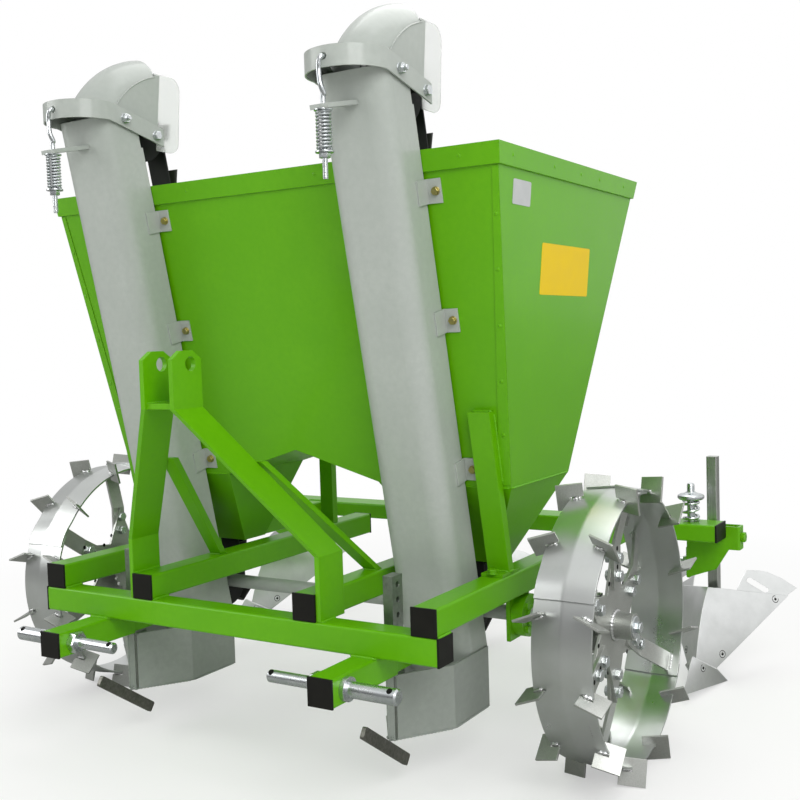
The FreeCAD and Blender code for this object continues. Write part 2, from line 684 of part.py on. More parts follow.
def frustum(inset):
    """The hopper's outside, or its inside when inset by the sheet."""
    top = size("rim_height")
    low = size("hopper_floor")
    reach = 1 if inset else 0
    levels = []
    for height in (low - reach, top + reach):
        share = (height - low) / (top - low)
        half = size("hopper_half_low") + share * (size("hopper_half_top") - size("hopper_half_low")) - inset
        front = wall_y(height) + inset
        rear = size("hopper_rear_low") + share * (size("hopper_rear_y") - size("hopper_rear_low")) - inset
        levels.append((0, (front + rear) / 2, height, half, (rear - front) / 2))
    return slab_loft(levels)


def notch(extra):
    """The space below the raised floor, as one ridge-shaped prism."""
    half = size("notch_half")
    low = size("hopper_floor")
    rise = size("notch_rise")
    return prism([(-half, 0, low - 1), (half, 0, low - 1), (half, 0, low + extra),
                  (0, 0, low + rise + extra), (-half, 0, low + extra)], (0, 1000, 0))


def hopper_walls():
    inside = frustum(size("sheet"))
    shell = frustum(0).cut(inside)
    far = 2000
    low = size("hopper_floor") - 50
    top = size("rim_height") + 50
    front = prism([(-far, wall_y(low) + size("sheet"), low), (-far, wall_y(top) + size("sheet"), top),
                   (-far, -far, top), (-far, -far, low)], (2 * far, 0, 0))
    run = size("hopper_rear_y") - size("hopper_rear_low")
    rear_slope = run / (size("rim_height") - size("hopper_floor"))
    rear_low = size("hopper_rear_low") - 50 * rear_slope - size("sheet")
    rear_top = size("hopper_rear_y") + 50 * rear_slope - size("sheet")
    rear = prism([(-far, rear_low, low), (-far, rear_top, top), (-far, far, top), (-far, far, low)],
                 (2 * far, 0, 0))
    left_half = Part.makeBox(far, 2 * far, 2 * far, Vector(-far, -far, 0))
    right_half = Part.makeBox(far, 2 * far, 2 * far, Vector(0, -far, 0))
    sides = shell.cut(front).cut(rear)
    base = at(0, 0, 0)
    feature("hopper_front_wall", shell.common(front).cut(notch(0)), base)
    feature("hopper_rear_wall", shell.common(rear).cut(notch(0)), base)
    feature("hopper_left_wall", sides.common(left_half), base)
    feature("hopper_right_wall", sides.common(right_half), base)
    floor = notch(size("sheet")).cut(notch(0)).common(inside)
    above = Part.makeBox(far, far, far, Vector(-far / 2, 0, low + 50))
    feature("hopper_raised_floor", floor.common(above), base)


def hopper_rim():
    """A band folded over the top edge, outside all four walls."""
    fold = size("rim_fold")
    top = size("rim_height")
    low = top - size("rim_band")
    share = size("rim_band") / (size("rim_height") - size("hopper_floor"))
    half_low = size("hopper_half_top") - share * (size("hopper_half_top") - size("hopper_half_low"))
    rear_low = size("hopper_rear_y") - share * (size("hopper_rear_y") - size("hopper_rear_low"))
    outer = []
    inner = []
    for z, half, front, rear in ((low, half_low, wall_y(low), rear_low),
                                 (top, size("hopper_half_top"), wall_y(top), size("hopper_rear_y"))):
        middle = (front + rear) / 2
        depth = (rear - front) / 2
        inner.append((0, middle, z, half, depth))
        outer.append((0, middle, z, half + fold, depth + fold))
    band = slab_loft(outer).cut(slab_loft(inner))
    feature("hopper_rim", band, at(0, 0, 0))


def funnel():
    """Sheet funnel that brings the tubers to the cup belt."""
    shells = []
    middle_x = (size("notch_half") + size("hopper_half_low")) / 2
    half_x = (size("hopper_half_low") - size("notch_half")) / 2
    front = wall_y(size("hopper_floor"))
    rear = size("hopper_rear_low")
    low_depth = size("funnel_outlet") / 2
    low_middle = wall_y(size("funnel_low")) + size("funnel_setback") + low_depth
    for inset in (0, size("sheet")):
        shells.append(slab_loft([
            (size("row_half"), low_middle, size("funnel_low"), size("funnel_low_half") - inset,
             low_depth - inset),
            (middle_x, (front + rear) / 2, size("hopper_floor"), half_x - inset, (rear - front) / 2 - inset),
        ]))
    right = feature("right_funnel", shells[0].cut(shells[1]), at(0, 0, 0))
    mirrored(right, "left_funnel")


def front_posts():
    """Flat tubes that lean with the front wall, each welded to a plate on the outer beam."""
    width = size("post_width")
    depth = size("post_depth")
    plate = size("post_plate")
    start_x = size("frame_half") - size("post_inset") - width
    foot_z = BEAM_TOP + plate
    top_z = size("hopper_floor") + size("post_overlap")
    profile = [(start_x, wall_y(foot_z) - depth - SEAT_GAP, foot_z),
               (start_x, wall_y(foot_z) - SEAT_GAP, foot_z),
               (start_x, wall_y(top_z) - SEAT_GAP, top_z),
               (start_x, wall_y(top_z) - depth - SEAT_GAP, top_z)]
    post = prism(profile, (width, 0, 0))
    foot_y = wall_y(BEAM_TOP) + depth - size("post_plate_length")
    foot = Part.makeBox(width, size("post_plate_length"), plate, Vector(start_x, foot_y, BEAM_TOP))
    right = feature("front_post", post.fuse(foot).removeSplitter(), at(0, 0, 0), export=False)
    mirrored_pair("hopper_front_posts", right)


def rear_posts():
    """Flat tubes that stand on the inner beams and meet the sloping rear wall."""
    run = size("hopper_rear_y") - size("hopper_rear_low")
    slope = (size("rim_height") - size("hopper_floor")) / run
    width = size("rear_post_width")
    depth = size("post_depth")
    front = size("rear_post_y")
    touch = size("hopper_floor") + slope * (front - size("hopper_rear_low") - SEAT_GAP)
    start_x = size("inner_beam_x") - width / 2
    profile = [(start_x, front, BEAM_TOP), (start_x, front + depth, BEAM_TOP),
               (start_x, front + depth, touch + depth * slope), (start_x, front, touch)]
    right = feature("rear_post", prism(profile, (width, 0, 0)), at(0, 0, 0), export=False)
    mirrored_pair("hopper_rear_posts", right)


# ---- Seed tubes: bent-sheet tubes that lean with the hopper's front wall ----

HEAD_BEND_Y = size("hopper_front_y") + size("head_bend_back")
HEAD_BEND_Z = size("rim_height") + size("head_bend_rise")
HEAD_REAR_Y = size("hopper_front_y") + size("head_rear_back")
HEAD_SEAM = size("head_bend_radius") + size("head_seam_out")
HEAD_BAND_Y = size("hopper_front_y") - size("head_band_ahead")
HEAD_BAND_Z = size("rim_height") + size("head_band_rise")
HEAD_BAND_TOP = HEAD_BAND_Z + size("head_band_height")
HEAD_LEDGE_Z = HEAD_BAND_Z + size("head_ledge_rise")
HEAD_LOW_REAR = HEAD_BAND_Z - size("head_rear_drop")
LEDGE_AIR = 0.3
GUARD_TOP = size("rim_height") + size("guard_rise") + size("guard_height")


def head_fall(y):
    """Drop of a head's lower edge behind its band."""
    return size("head_rear_drop") * max(0, y - HEAD_BAND_Y) / (HEAD_REAR_Y - HEAD_BAND_Y)


def ledge_upward(air):
    """Everything above the underside of a head's ledge, and air below it, on the machine's middle."""
    wide = 3 * size("head_band_radius")
    ahead = HEAD_BAND_Y - wide
    rear = HEAD_REAR_Y
    low = HEAD_LEDGE_Z - size("head_metal") - air
    high = low + 2 * size("head_bend_radius") + wide
    return prism([(-wide, ahead, low), (-wide, HEAD_BAND_Y, low), (-wide, rear, low - head_fall(rear)),
                  (-wide, rear, high), (-wide, ahead, high)], (2 * wide, 0, 0))


def lean(shape):
    """Moves a shape from a row's own frame to the working frame, still in the middle of the machine."""
    tilted = Placement(Vector(0, size("hopper_front_y"), size("rim_height")), Rotation(Vector(1, 0, 0), TILT))
    shape = shape.copy()
    shape.Placement = tilted * shape.Placement
    return shape


def tube_outline(half, front, back, bend):
    """Closed outline with a straight back and two rounded front corners, at z = 0."""
    left_start = Vector(-half, front + bend, 0)
    left_end = Vector(-half + bend, front, 0)
    right_start = Vector(half - bend, front, 0)
    right_end = Vector(half, front + bend, 0)
    diagonal = bend * (1 - math.sqrt(0.5))
    edges = [
        Part.LineSegment(Vector(-half, back, 0), left_start).toShape(),
        Part.Arc(left_start, Vector(-half + diagonal, front + diagonal, 0), left_end).toShape(),
        Part.LineSegment(left_end, right_start).toShape(),
        Part.Arc(right_start, Vector(half - diagonal, front + diagonal, 0), right_end).toShape(),
        Part.LineSegment(right_end, Vector(half, back, 0)).toShape(),
        Part.LineSegment(Vector(half, back, 0), Vector(-half, back, 0)).toShape(),
    ]
    return Part.Wire(edges)


def seed_tube():
    """Rounded channel with return lips; its open back faces the hopper wall and lets the belt run in."""
    wall = size("tube_sheet")
    back = -size("tube_back_gap")
    front = back - size("tube_depth")
    length = size("tube_top") + TUBE_LOW
    outer = Part.Face(tube_outline(size("tube_half"), front, back, size("tube_bend")))
    inner = Part.Face(tube_outline(size("tube_half") - wall, front + wall, back - wall,
                                   size("tube_bend") - wall))
    mouth_half = size("tube_half") - size("tube_lip")
    mouth = Part.makeBox(2 * mouth_half, 4 * wall, length, Vector(-mouth_half, back - 2 * wall, 0))
    channel = outer.extrude(Vector(0, 0, length)).cut(inner.extrude(Vector(0, 0, length))).cut(mouth)
    bare = size("tube_bare_top")
    no_lips = Part.makeBox(4 * size("tube_half"), 4 * wall, bare,
                           Vector(-2 * size("tube_half"), back - 2 * wall, length - bare))
    channel = channel.cut(no_lips)
    channel.translate(Vector(0, 0, -TUBE_LOW))
    channel = lean(channel).cut(ledge_upward(LEDGE_AIR))
    feature("right_seed_tube", channel, at(size("row_half"), 0, 0))
    feature("left_seed_tube", channel.copy(), at(-size("row_half"), 0, 0))


def clip_drops():
    """Lower edges of the three clips below the rim, along the tube."""
    first = size("clip_first")
    last = (size("rim_height") - size("hopper_floor")) / COSINE - size("clip_last")
    return (-first, -first - size("clip_middle") * (last - first), -last)


def tube_clips():
    """Bent tabs from the sides of each tube to the hopper wall."""
    tabs = []
    half = size("tube_half")
    for x in rows():
        for side in (-1, 1):
            for drop in clip_drops():
                flat = Part.makeBox(size("clip_reach"), size("clip_sheet"), size("clip_height"),
                                    Vector(half, -size("clip_sheet"), drop))
                leg = Part.makeBox(size("clip_sheet"), size("clip_leg"), size("clip_height"),
                                   Vector(half, -size("clip_sheet") - size("clip_leg"), drop))
                tab = flat.fuse(leg).removeSplitter()
                if side < 0:
                    tab = tab.mirror(Vector(0, 0, 0), Vector(1, 0, 0))
                tabs.append(feature("clip", tab, row_frame(x), export=False))
    together("tube_clips", tabs)


# ---- Heads: half-pipe bends over the top pulleys, held down by sprung rods ----

HOOD_LAP = 11


def head_hood():
    """Outer side of a bend of pipe, above the ledge and as far as the head's rear end."""
    pipe_radius = size("head_pipe_radius")
    bend = size("head_bend_radius")
    hub = Vector(0, HEAD_BEND_Y, HEAD_BEND_Z)
    middle = Vector(0, HEAD_BEND_Y - bend, HEAD_BEND_Z)
    solids = []
    for radius in (pipe_radius, pipe_radius - size("head_metal")):
        ring = Part.Face(Part.Wire(Part.makeCircle(radius, middle, Vector(0, 0, 1))))
        solids.append(ring.revolve(hub, Vector(-1, 0, 0), 90))
    wide = 4 * pipe_radius
    inner_side = Part.makeCylinder(HEAD_SEAM - HOOD_LAP, wide, hub - Vector(wide / 2, 0, 0), Vector(1, 0, 0))
    return solids[0].cut(solids[1]).cut(inner_side).common(ledge_upward(0))


def head_opening():
    """The way from the tube up into the hood: round at the front, open to the rear."""
    half = size("head_pipe_radius") - size("head_metal")
    outer = size("head_bend_radius") + size("head_pipe_radius")
    over_hub = HEAD_LEDGE_Z - HEAD_BEND_Z
    round_y = HEAD_BEND_Y - math.sqrt(outer ** 2 - over_hub ** 2) + size("head_pipe_radius")
    low = HEAD_BAND_Z - 2 * half
    high = 6 * half
    front = Part.makeCylinder(half, high, Vector(0, round_y, low))
    return front.fuse(Part.makeBox(2 * half, HEAD_REAR_Y, high, Vector(-half, round_y, low)))


def head_plate(low_x):
    """Side plate of a head: a disc's quarter behind the seam, and a strip beside the hood's end."""
    metal = size("head_metal")
    ledge_low = HEAD_LEDGE_Z - metal
    fall = head_fall(HEAD_REAR_Y)
    ahead = HEAD_BEND_Y - 2 * HEAD_SEAM
    above = HEAD_BEND_Z + 2 * HEAD_SEAM
    disc = Part.makeCylinder(HEAD_SEAM, metal, Vector(low_x, HEAD_BEND_Y, HEAD_BEND_Z), Vector(1, 0, 0))
    corner = prism([(low_x, HEAD_REAR_Y, above), (low_x, ahead, above), (low_x, ahead, ledge_low),
                    (low_x, HEAD_BAND_Y, ledge_low), (low_x, HEAD_REAR_Y, ledge_low - fall)], (metal, 0, 0))
    strip_y = HEAD_REAR_Y - size("guard_lap") / 2
    strip_high = HEAD_BEND_Z + size("head_bend_radius")
    top = GUARD_TOP - metal
    strip = prism([(low_x, strip_y, ledge_low - head_fall(strip_y)), (low_x, HEAD_REAR_Y, ledge_low - fall),
                   (low_x, HEAD_REAR_Y + size("head_rear_lean"), top), (low_x, HEAD_REAR_Y, top),
                   (low_x, HEAD_REAR_Y, strip_high), (low_x, strip_y, strip_high)], (metal, 0, 0))
    return disc.common(corner).fuse(strip)


def head_side(sign):
    """Side plate, cheek below it and the ledge between them, on one side of a head."""
    metal = size("head_metal")
    pipe_radius = size("head_pipe_radius")
    band = size("head_band_radius")
    fall = head_fall(HEAD_REAR_Y)
    ledge_low = HEAD_LEDGE_Z - metal
    cheek_x = band - metal if sign > 0 else -band
    cheek = prism([(cheek_x, HEAD_BAND_Y, HEAD_BAND_Z), (cheek_x, HEAD_BAND_Y, HEAD_BAND_TOP),
                   (cheek_x, HEAD_REAR_Y, HEAD_BAND_TOP - fall), (cheek_x, HEAD_REAR_Y, HEAD_LOW_REAR)],
                  (metal, 0, 0))
    ledge_width = band - pipe_radius / 2
    ledge_x = pipe_radius / 2 if sign > 0 else -band
    ledge = prism([(ledge_x, HEAD_BAND_Y, ledge_low), (ledge_x, HEAD_BAND_Y, HEAD_LEDGE_Z),
                   (ledge_x, HEAD_REAR_Y, HEAD_LEDGE_Z - fall), (ledge_x, HEAD_REAR_Y, ledge_low - fall)],
                  (ledge_width, 0, 0))
    plate = head_plate(pipe_radius - metal if sign > 0 else -pipe_radius)
    return [plate, cheek, ledge.cut(head_opening())]


def head_band():
    """Half ring round the tube's front, and the half ledge inside it."""
    metal = size("head_metal")
    band = size("head_band_radius")
    height = size("head_band_height")
    base = Vector(0, HEAD_BAND_Y, HEAD_BAND_Z)
    front_half = Part.makeBox(4 * band, 2 * band, 3 * height,
                              Vector(-2 * band, HEAD_BAND_Y - 2 * band, HEAD_BAND_Z - height))
    ring = Part.makeCylinder(band, height, base).cut(Part.makeCylinder(band - metal, height, base))
    ledge = Part.makeCylinder(band, metal, Vector(0, HEAD_BAND_Y, HEAD_LEDGE_Z - metal))
    ledge = ledge.common(front_half).cut(head_opening())
    return [ring.common(front_half), ledge]


def tube_head():
    """Half-pipe bend between two side plates, standing on a ledge inside a wider band; one weldment."""
    solid = head_hood().fuse(head_side(-1) + head_side(1) + head_band()).removeSplitter()
    hook_hole = size("rod_dia") / 2 + 1.5
    band = size("head_band_radius")
    start = Vector(0, HEAD_BAND_Y - 1.2 * band, HOOK_Z)
    solid = solid.cut(Part.makeCylinder(hook_hole, band / 2, start, Vector(0, 1, 0)))
    pin_reach = size("head_pipe_radius") + 2 * size("top_pin_stand")
    pin_radius = size("top_pin_dia") / 2 + size("turning_gap")
    start = Vector(-pin_reach, BELT_CENTRE, size("top_pulley_rise"))
    solid = solid.cut(lean(Part.makeCylinder(pin_radius, 2 * pin_reach, start, Vector(1, 0, 0))))
    feature("right_tube_head", solid, at(size("row_half"), 0, 0))
    feature("left_tube_head", solid.copy(), at(-size("row_half"), 0, 0))


HOOK_Z = HEAD_BAND_Z + size("head_band_height") / 2


def guard_sheet(side_x):
    """Sheet with rounded rear corners behind the hood's end, and a lap inside the side plate."""
    thick = size("guard_sheet")
    low = size("rim_height") + size("guard_rise")
    rear = HEAD_REAR_Y + size("guard_reach")
    sheet = prism([(side_x, HEAD_REAR_Y, low), (side_x, rear, low),
                   (side_x, rear + size("head_rear_lean"), GUARD_TOP), (side_x, HEAD_REAR_Y, GUARD_TOP)],
                  (thick, 0, 0))
    corners = [edge for edge in sheet.Edges
               if abs(edge.tangentAt(0).x) > 0.9 and edge.CenterOfMass.y > rear - 1]
    sheet = sheet.makeFillet(size("guard_corner"), corners)
    lap_top = HEAD_BEND_Z + size("head_bend_radius") - size("guard_lap") / 2
    lap = Part.makeBox(thick, size("guard_lap"), lap_top - HEAD_BAND_TOP,
                       Vector(side_x, HEAD_REAR_Y - size("guard_lap"), HEAD_BAND_TOP))
    return sheet.fuse(lap).removeSplitter()


def head_guards():
    """Clear sheets on the inner faces of each head's side plates, past its rear opening."""
    inner = size("head_pipe_radius") - size("head_metal")
    guards = []
    for row_x in rows():
        for side_x in (-inner, inner - size("guard_sheet")):
            guards.append(feature("guard", guard_sheet(side_x), at(row_x, 0, 0), export=False))
    together("head_guards", guards)


ROD_Y = HEAD_BAND_Y - size("head_band_radius") - size("rod_dia") / 2 - size("rod_gap")
TUBE_FRONT = -size("tube_back_gap") - size("tube_depth")


def spring_seat():
    """Height at which the tension spring's upper end meets the leaning plate."""
    rise = size("tension_plate_rise")
    along = (ROD_Y - size("hopper_front_y")) / COSINE + rise * SINE / COSINE
    under = size("rim_height") + along * SINE + rise * COSINE
    return under - size("tension_spring_dia") / 2 * SINE / COSINE - LEDGE_AIR


def tension_bracket(row_x):
    """Plate that stands square off the tube's front, bored for the rod."""
    reach = size("tension_plate_reach")
    width = size("tension_plate_width")
    plate = Part.makeBox(width, reach, size("tension_plate"),
                         Vector(-width / 2, TUBE_FRONT - reach, size("tension_plate_rise")))
    bore_radius = size("rod_dia") / 2 + 0.7
    bore = Part.makeCylinder(bore_radius, 2 * width, Vector(0, ROD_Y, spring_seat() - width / 2))
    return feature("tension_bracket", lean(plate).cut(bore), at(row_x, 0, 0), export=False)


WASHER_THICK = 3
NUT_HIGH = 9


def nut_foot():
    """Height of the lower face of the nut below the tension spring."""
    return spring_seat() - size("tension_spring_length") - SEAT_GAP - WASHER_THICK - NUT_HIGH


def tension_rod(row_x):
    """Upright rod whose hooked top enters the band."""
    radius = size("rod_dia") / 2
    foot = nut_foot() - size("rod_tail")
    top = HOOK_Z + radius
    stem = Part.makeCylinder(radius, top - foot, Vector(0, ROD_Y, foot))
    hook = Part.makeCylinder(radius, 24, Vector(0, ROD_Y, HOOK_Z), Vector(0, 1, 0))
    return feature("tension_rod", stem.fuse(hook).removeSplitter(), at(row_x, 0, 0), export=False)


def tension_stack(row_x):
    """Spring, washer and nut below the plate."""
    top = spring_seat()
    length = size("tension_spring_length")
    spring = pipe("tension_spring", "tension_spring_dia", "tension_spring_bore", "tension_spring_length",
                  at(row_x, ROD_Y, top - length))
    low = nut_foot()
    washer = Part.makeCylinder(2 * size("rod_dia"), WASHER_THICK, Vector(0, ROD_Y, low + NUT_HIGH))
    nut = Part.makeCylinder(size("rod_dia"), NUT_HIGH, Vector(0, ROD_Y, low))
    bore = Part.makeCylinder(size("rod_dia") / 2 + 0.1, length, Vector(0, ROD_Y, low - length / 2))
    stack = washer.fuse(nut).cut(bore).removeSplitter()
    return [spring, feature("tension_nut", stack, at(row_x, 0, 0), export=False)]


def tension_gear():
    together("tension_brackets", [tension_bracket(row_x) for row_x in rows()])
    together("tension_rods", [tension_rod(row_x) for row_x in rows()])
    stacks = [tension_stack(row_x) for row_x in rows()]
    together("tension_springs", stacks[0] + stacks[1])


# ---- Cup belts: one loop per row, from the cross shaft up through the hopper and down the tube ----

def stadium(radius, low, high):
    """Upright racetrack outline in the YZ plane about the belt's centre line."""
    middle = BELT_CENTRE
    edges = [
        Part.LineSegment(Vector(0, middle - radius, low), Vector(0, middle - radius, high)).toShape(),
        Part.Arc(Vector(0, middle - radius, high), Vector(0, middle, high + radius),
                 Vector(0, middle + radius, high)).toShape(),
        Part.LineSegment(Vector(0, middle + radius, high), Vector(0, middle + radius, low)).toShape(),
        Part.Arc(Vector(0, middle + radius, low), Vector(0, middle, low - radius),
                 Vector(0, middle - radius, low)).toShape(),
    ]
    return Part.Wire(edges)


def belt_levels():
    """Heights of the two pulleys along the tube, in the row's own frame."""
    low = (AXLE_Z - size("rim_height") - BELT_CENTRE * SINE) / COSINE
    return low, size("top_pulley_rise")


def cup_belts():
    low, high = belt_levels()
    radius = size("pulley_radius")
    width = size("belt_width")
    outside = Part.Face(stadium(radius + size("belt_thick"), low, high)).extrude(Vector(width, 0, 0))
    band = outside.cut(Part.Face(stadium(radius, low, high)).extrude(Vector(width, 0, 0)))
    band.translate(Vector(-width / 2, 0, 0))
    loops = [feature("belt", band.copy(), row_frame(x), export=False) for x in rows()]
    together("cup_belts", loops)


CUP_MOUTH = 25
CUP_FLOOR = 17
CUP_DEPTH = 34
CUP_WALL = 3
CUP_BACK = 46
CUP_OUT = 20


def cup():
    """One seed cup: a back plate on the belt and half a bowl, its mouth towards +Z."""
    foot = Vector(0, CUP_OUT, -CUP_DEPTH / 2)
    lift = Vector(0, 0, CUP_WALL + 0.1)
    bowl = Part.makeCone(CUP_FLOOR, CUP_MOUTH, CUP_DEPTH, foot)
    hollow = Part.makeCone(CUP_FLOOR - CUP_WALL, CUP_MOUTH - CUP_WALL, CUP_DEPTH - CUP_WALL, foot + lift)
    back = Part.makeBox(CUP_BACK, CUP_WALL, CUP_DEPTH, Vector(-CUP_BACK / 2, 0, -CUP_DEPTH / 2))
    space = 2 * CUP_BACK
    behind = Part.makeBox(space, space, space, Vector(-space / 2, CUP_WALL - 0.1 - space, -space / 2))
    return bowl.cut(hollow).cut(behind).fuse(back).removeSplitter()


def seed_cups():
    """Evenly spaced cups round the whole belt, all facing along its travel."""
    low, high = belt_levels()
    reach = size("pulley_radius") + size("belt_thick") + SEAT_GAP
    run = high - low
    bend = math.pi * reach
    count = int((2 * run + 2 * bend) / size("cup_pitch"))
    pitch = (2 * run + 2 * bend) / count
    shapes = []
    for step in range(count):
        along = (step + 0.5) * pitch
        if along < run:
            angle, y, z = 0, reach, low + along
        elif along < run + bend:
            angle = (along - run) / bend * 180
            y = reach * math.cos(math.radians(angle))
            z = high + reach * math.sin(math.radians(angle))
        elif along < 2 * run + bend:
            angle, y, z = 180, -reach, high - (along - run - bend)
        else:
            angle = 180 + (along - 2 * run - bend) / bend * 180
            y = reach * math.cos(math.radians(angle))
            z = low + reach * math.sin(math.radians(angle))
        shape = cup()
        shape.rotate(Vector(0, 0, 0), Vector(1, 0, 0), angle)
        shape.translate(Vector(0, BELT_CENTRE + y, z))
        shapes.append(shape)
    cups = []
    for row_x in rows():
        for shape in shapes:
            cups.append(feature("cup", shape.copy(), row_frame(row_x), export=False))
    together("seed_cups", cups)


def in_row(row_x, x, height):
    """A placement along X on the belt's centre line, from a place in a row's own frame."""
    return row_frame(row_x) * Placement(Vector(x, BELT_CENTRE, height), ALONG_X)


def belt_pulleys():
    low, high = belt_levels()
    half = size("belt_width") / 2 + size("pulley_shoulder")
    width = "( belt_width + 2 * pulley_shoulder )"
    drum = "( 2 * pulley_radius - 2 * turning_gap )"
    bore = "( shaft_dia + 2 * turning_gap )"
    pin_length = "( 2 * head_pipe_radius + 2 * top_pin_stand )"
    pin_half = size("head_pipe_radius") + size("top_pin_stand")
    rollers = []
    for row_x in rows():
        rollers.append(pipe("drum", drum, bore, width, in_row(row_x, -half, low)))
        roller = rod("top_drum", drum, width, in_row(row_x, -half, high))
        pin = rod("top_pin", "top_pin_dia", pin_length, in_row(row_x, -pin_half, high))
        rollers.append(fuse("top_pulley", [roller, pin]))
    together("belt_pulleys", rollers)


# ---- Cross shaft and its bearings ----

def cross_shaft():
    reach = WHEEL_MIDDLE + size("boss_outer") - 2
    length = "2 * ( wheel_inner_x + rim_width / 2 + boss_outer - 2 )"
    keep(rod("cross_shaft", "shaft_dia", length, at(-reach, AXLE_Y, AXLE_Z, ALONG_X)), "cross_shaft")


def shaft_bearings():
    """A hanger plate and a flanged housing under each outer beam."""
    x = size("frame_half") - size("beam_size") / 2
    half = size("bearing_width") / 2
    plate = box("hanger", "bearing_plate", "bearing_width", "( beam_over_axle + bearing_width / 2 )",
                at(x - size("bearing_plate"), AXLE_Y - half, AXLE_Z - half))
    housing = rod("housing", "bearing_dia", "bearing_depth", at(x, AXLE_Y, AXLE_Z, ALONG_X))
    bore = rod("bearing_bore", "( shaft_dia + 2 * turning_gap )", "( 2 * bearing_depth + bearing_plate )",
               at(x - size("bearing_depth"), AXLE_Y, AXLE_Z, ALONG_X))
    mirrored_pair("shaft_bearings", cut("bearing", fuse("bearing_body", [plate, housing]), bore))


# ---- Openers: V-nosed boots below the tubes, a knife under each, and the depth bars ----

def plan_outline(half, nose, bend, rear):
    return [Vector(-half, rear, 0), Vector(-half, bend, 0), Vector(0, nose, 0),
            Vector(half, bend, 0), Vector(half, rear, 0)]


def opener_boot():
    wall = size("boot_sheet")
    half = size("boot_half")
    bend = BOOT_REAR - size("boot_cheek")
    sweep = math.atan2(half, bend - BOOT_NOSE)
    inner_nose = BOOT_NOSE + wall / math.sin(sweep)
    inner_bend = bend + wall * math.tan(sweep / 2)
    outer_points = plan_outline(half, BOOT_NOSE, bend, BOOT_REAR)
    inner_points = plan_outline(half - wall, inner_nose, inner_bend, BOOT_REAR)
    loop = outer_points + inner_points[::-1] + outer_points[:1]
    height = size("boot_top") - size("boot_low")
    solid = Part.Face(Part.makePolygon(loop)).extrude(Vector(0, 0, height))
    solid.translate(Vector(0, 0, size("boot_low")))
    thick = size("bar_thick")
    slot = Part.makeBox(thick, size("bar_width"), height, Vector(-thick / 2, BAR_FRONT, size("boot_low") + 1))
    solid = solid.cut(slot)
    feature("right_opener_boot", solid, at(size("row_half"), 0, 0))
    feature("left_opener_boot", solid.copy(), at(-size("row_half"), 0, 0))


def depth_bars():
    """Flat bars that carry the boots, with a row of setting holes."""
    bars = []
    top = size("front_beam_top") + size("bar_over_beam")
    length = "( front_beam_top + bar_over_beam - boot_low - 1 )"
    middle_y = BAR_FRONT + size("bar_width") / 2
    half = size("bar_thick") / 2
    for row_x in rows():
        bar = box("depth_bar", "bar_thick", "bar_width", length,
                  at(row_x - half, BAR_FRONT, size("boot_low") + 1))
        for step in range(3):
            hole_z = top - (step + 0.6) * size("bar_hole_pitch")
            hole = rod("bar_hole", "bar_hole_dia", "2 * bar_thick",
                       at(row_x - 2 * half, middle_y, hole_z, ALONG_X))
            bar = cut("bored_bar", bar, hole)
        bars.append(bar)
    together("depth_bars", bars)


def depth_clamps():
    """Straps from the hitch brackets round the depth bars."""
    clamps = []
    start = size("hitch_tail")
    reach = BAR_FRONT + size("bar_width") + size("clamp_wall") - start
    middle_z = size("front_beam_top") - 1.5 * size("beam_size")
    low = middle_z - size("clamp_height") / 2
    thick = size("bar_thick")
    width = size("clamp_width")
    slot = Part.makeBox(thick, size("bar_width"), 2 * size("clamp_height"),
                        Vector(-thick / 2, BAR_FRONT, low - size("clamp_height") / 2))
    for row_x in rows():
        outer = Part.makeBox(width, reach, size("clamp_height"), Vector(-width / 2, start, low))
        clamps.append(feature("clamp", outer.cut(slot), at(row_x, 0, 0), export=False))
    together("depth_clamps", clamps)


def opener_knives():
    """Sloping flat bars below the noses: front end high, rear end low."""
    thick = size("knife_thick")
    width = size("knife_width")
    slope = size("knife_slope")
    knives = []
    for row_x in rows():
        bar = Part.makeBox(thick, size("knife_length"), width, Vector(-thick / 2, 0, -width))
        corners = [edge for edge in bar.Edges if abs(edge.tangentAt(0).x) > 0.9]
        bar = bar.makeFillet(size("knife_corner"), corners)
        bar.rotate(Vector(0, 0, 0), Vector(1, 0, 0), -slope)
        rise = (BOOT_NOSE + 1) * math.tan(math.radians(slope))
        bar.translate(Vector(0, 0, size("boot_low") - SEAT_GAP + rise))
        knives.append(feature("knife", bar, at(row_x, 0, 0), export=False))
    together("opener_knives", knives)


# ---- Ridgers: three shanks in clamps behind the rear beam, with shares, mouldboards and wings ----

RIDGER_PLACES = (-1, 0, 1)
SHANK_Y = REAR_FACE + size("holder_plate") + size("shank_size") / 2 + size("turning_gap")


def per_ridger(label, shape):
    """The same piece at all three ridgers; the left one is the right one mirrored."""
    members = []
    for place in RIDGER_PLACES:
        solid = shape.mirror(Vector(0, 0, 0), Vector(1, 0, 0)) if place < 0 else shape.copy()
        members.append(feature(label + "_one", solid, at(place * size("ridger_x"), 0, 0), export=False))
    together(label, members)


def ridger_shanks():
    half = size("shank_size") / 2
    low = size("shank_low")
    high = BEAM_TOP + size("shank_over_beam")
    bar = Part.makeBox(2 * half, 2 * half, high - low, Vector(-half, SHANK_Y - half, low))
    upright = [edge for edge in bar.Edges if abs(edge.tangentAt(0).z) > 0.9]
    bar = bar.makeFillet(size("shank_corner"), upright)
    per_ridger("ridger_shanks", bar.fuse(ridger_frog()).removeSplitter())


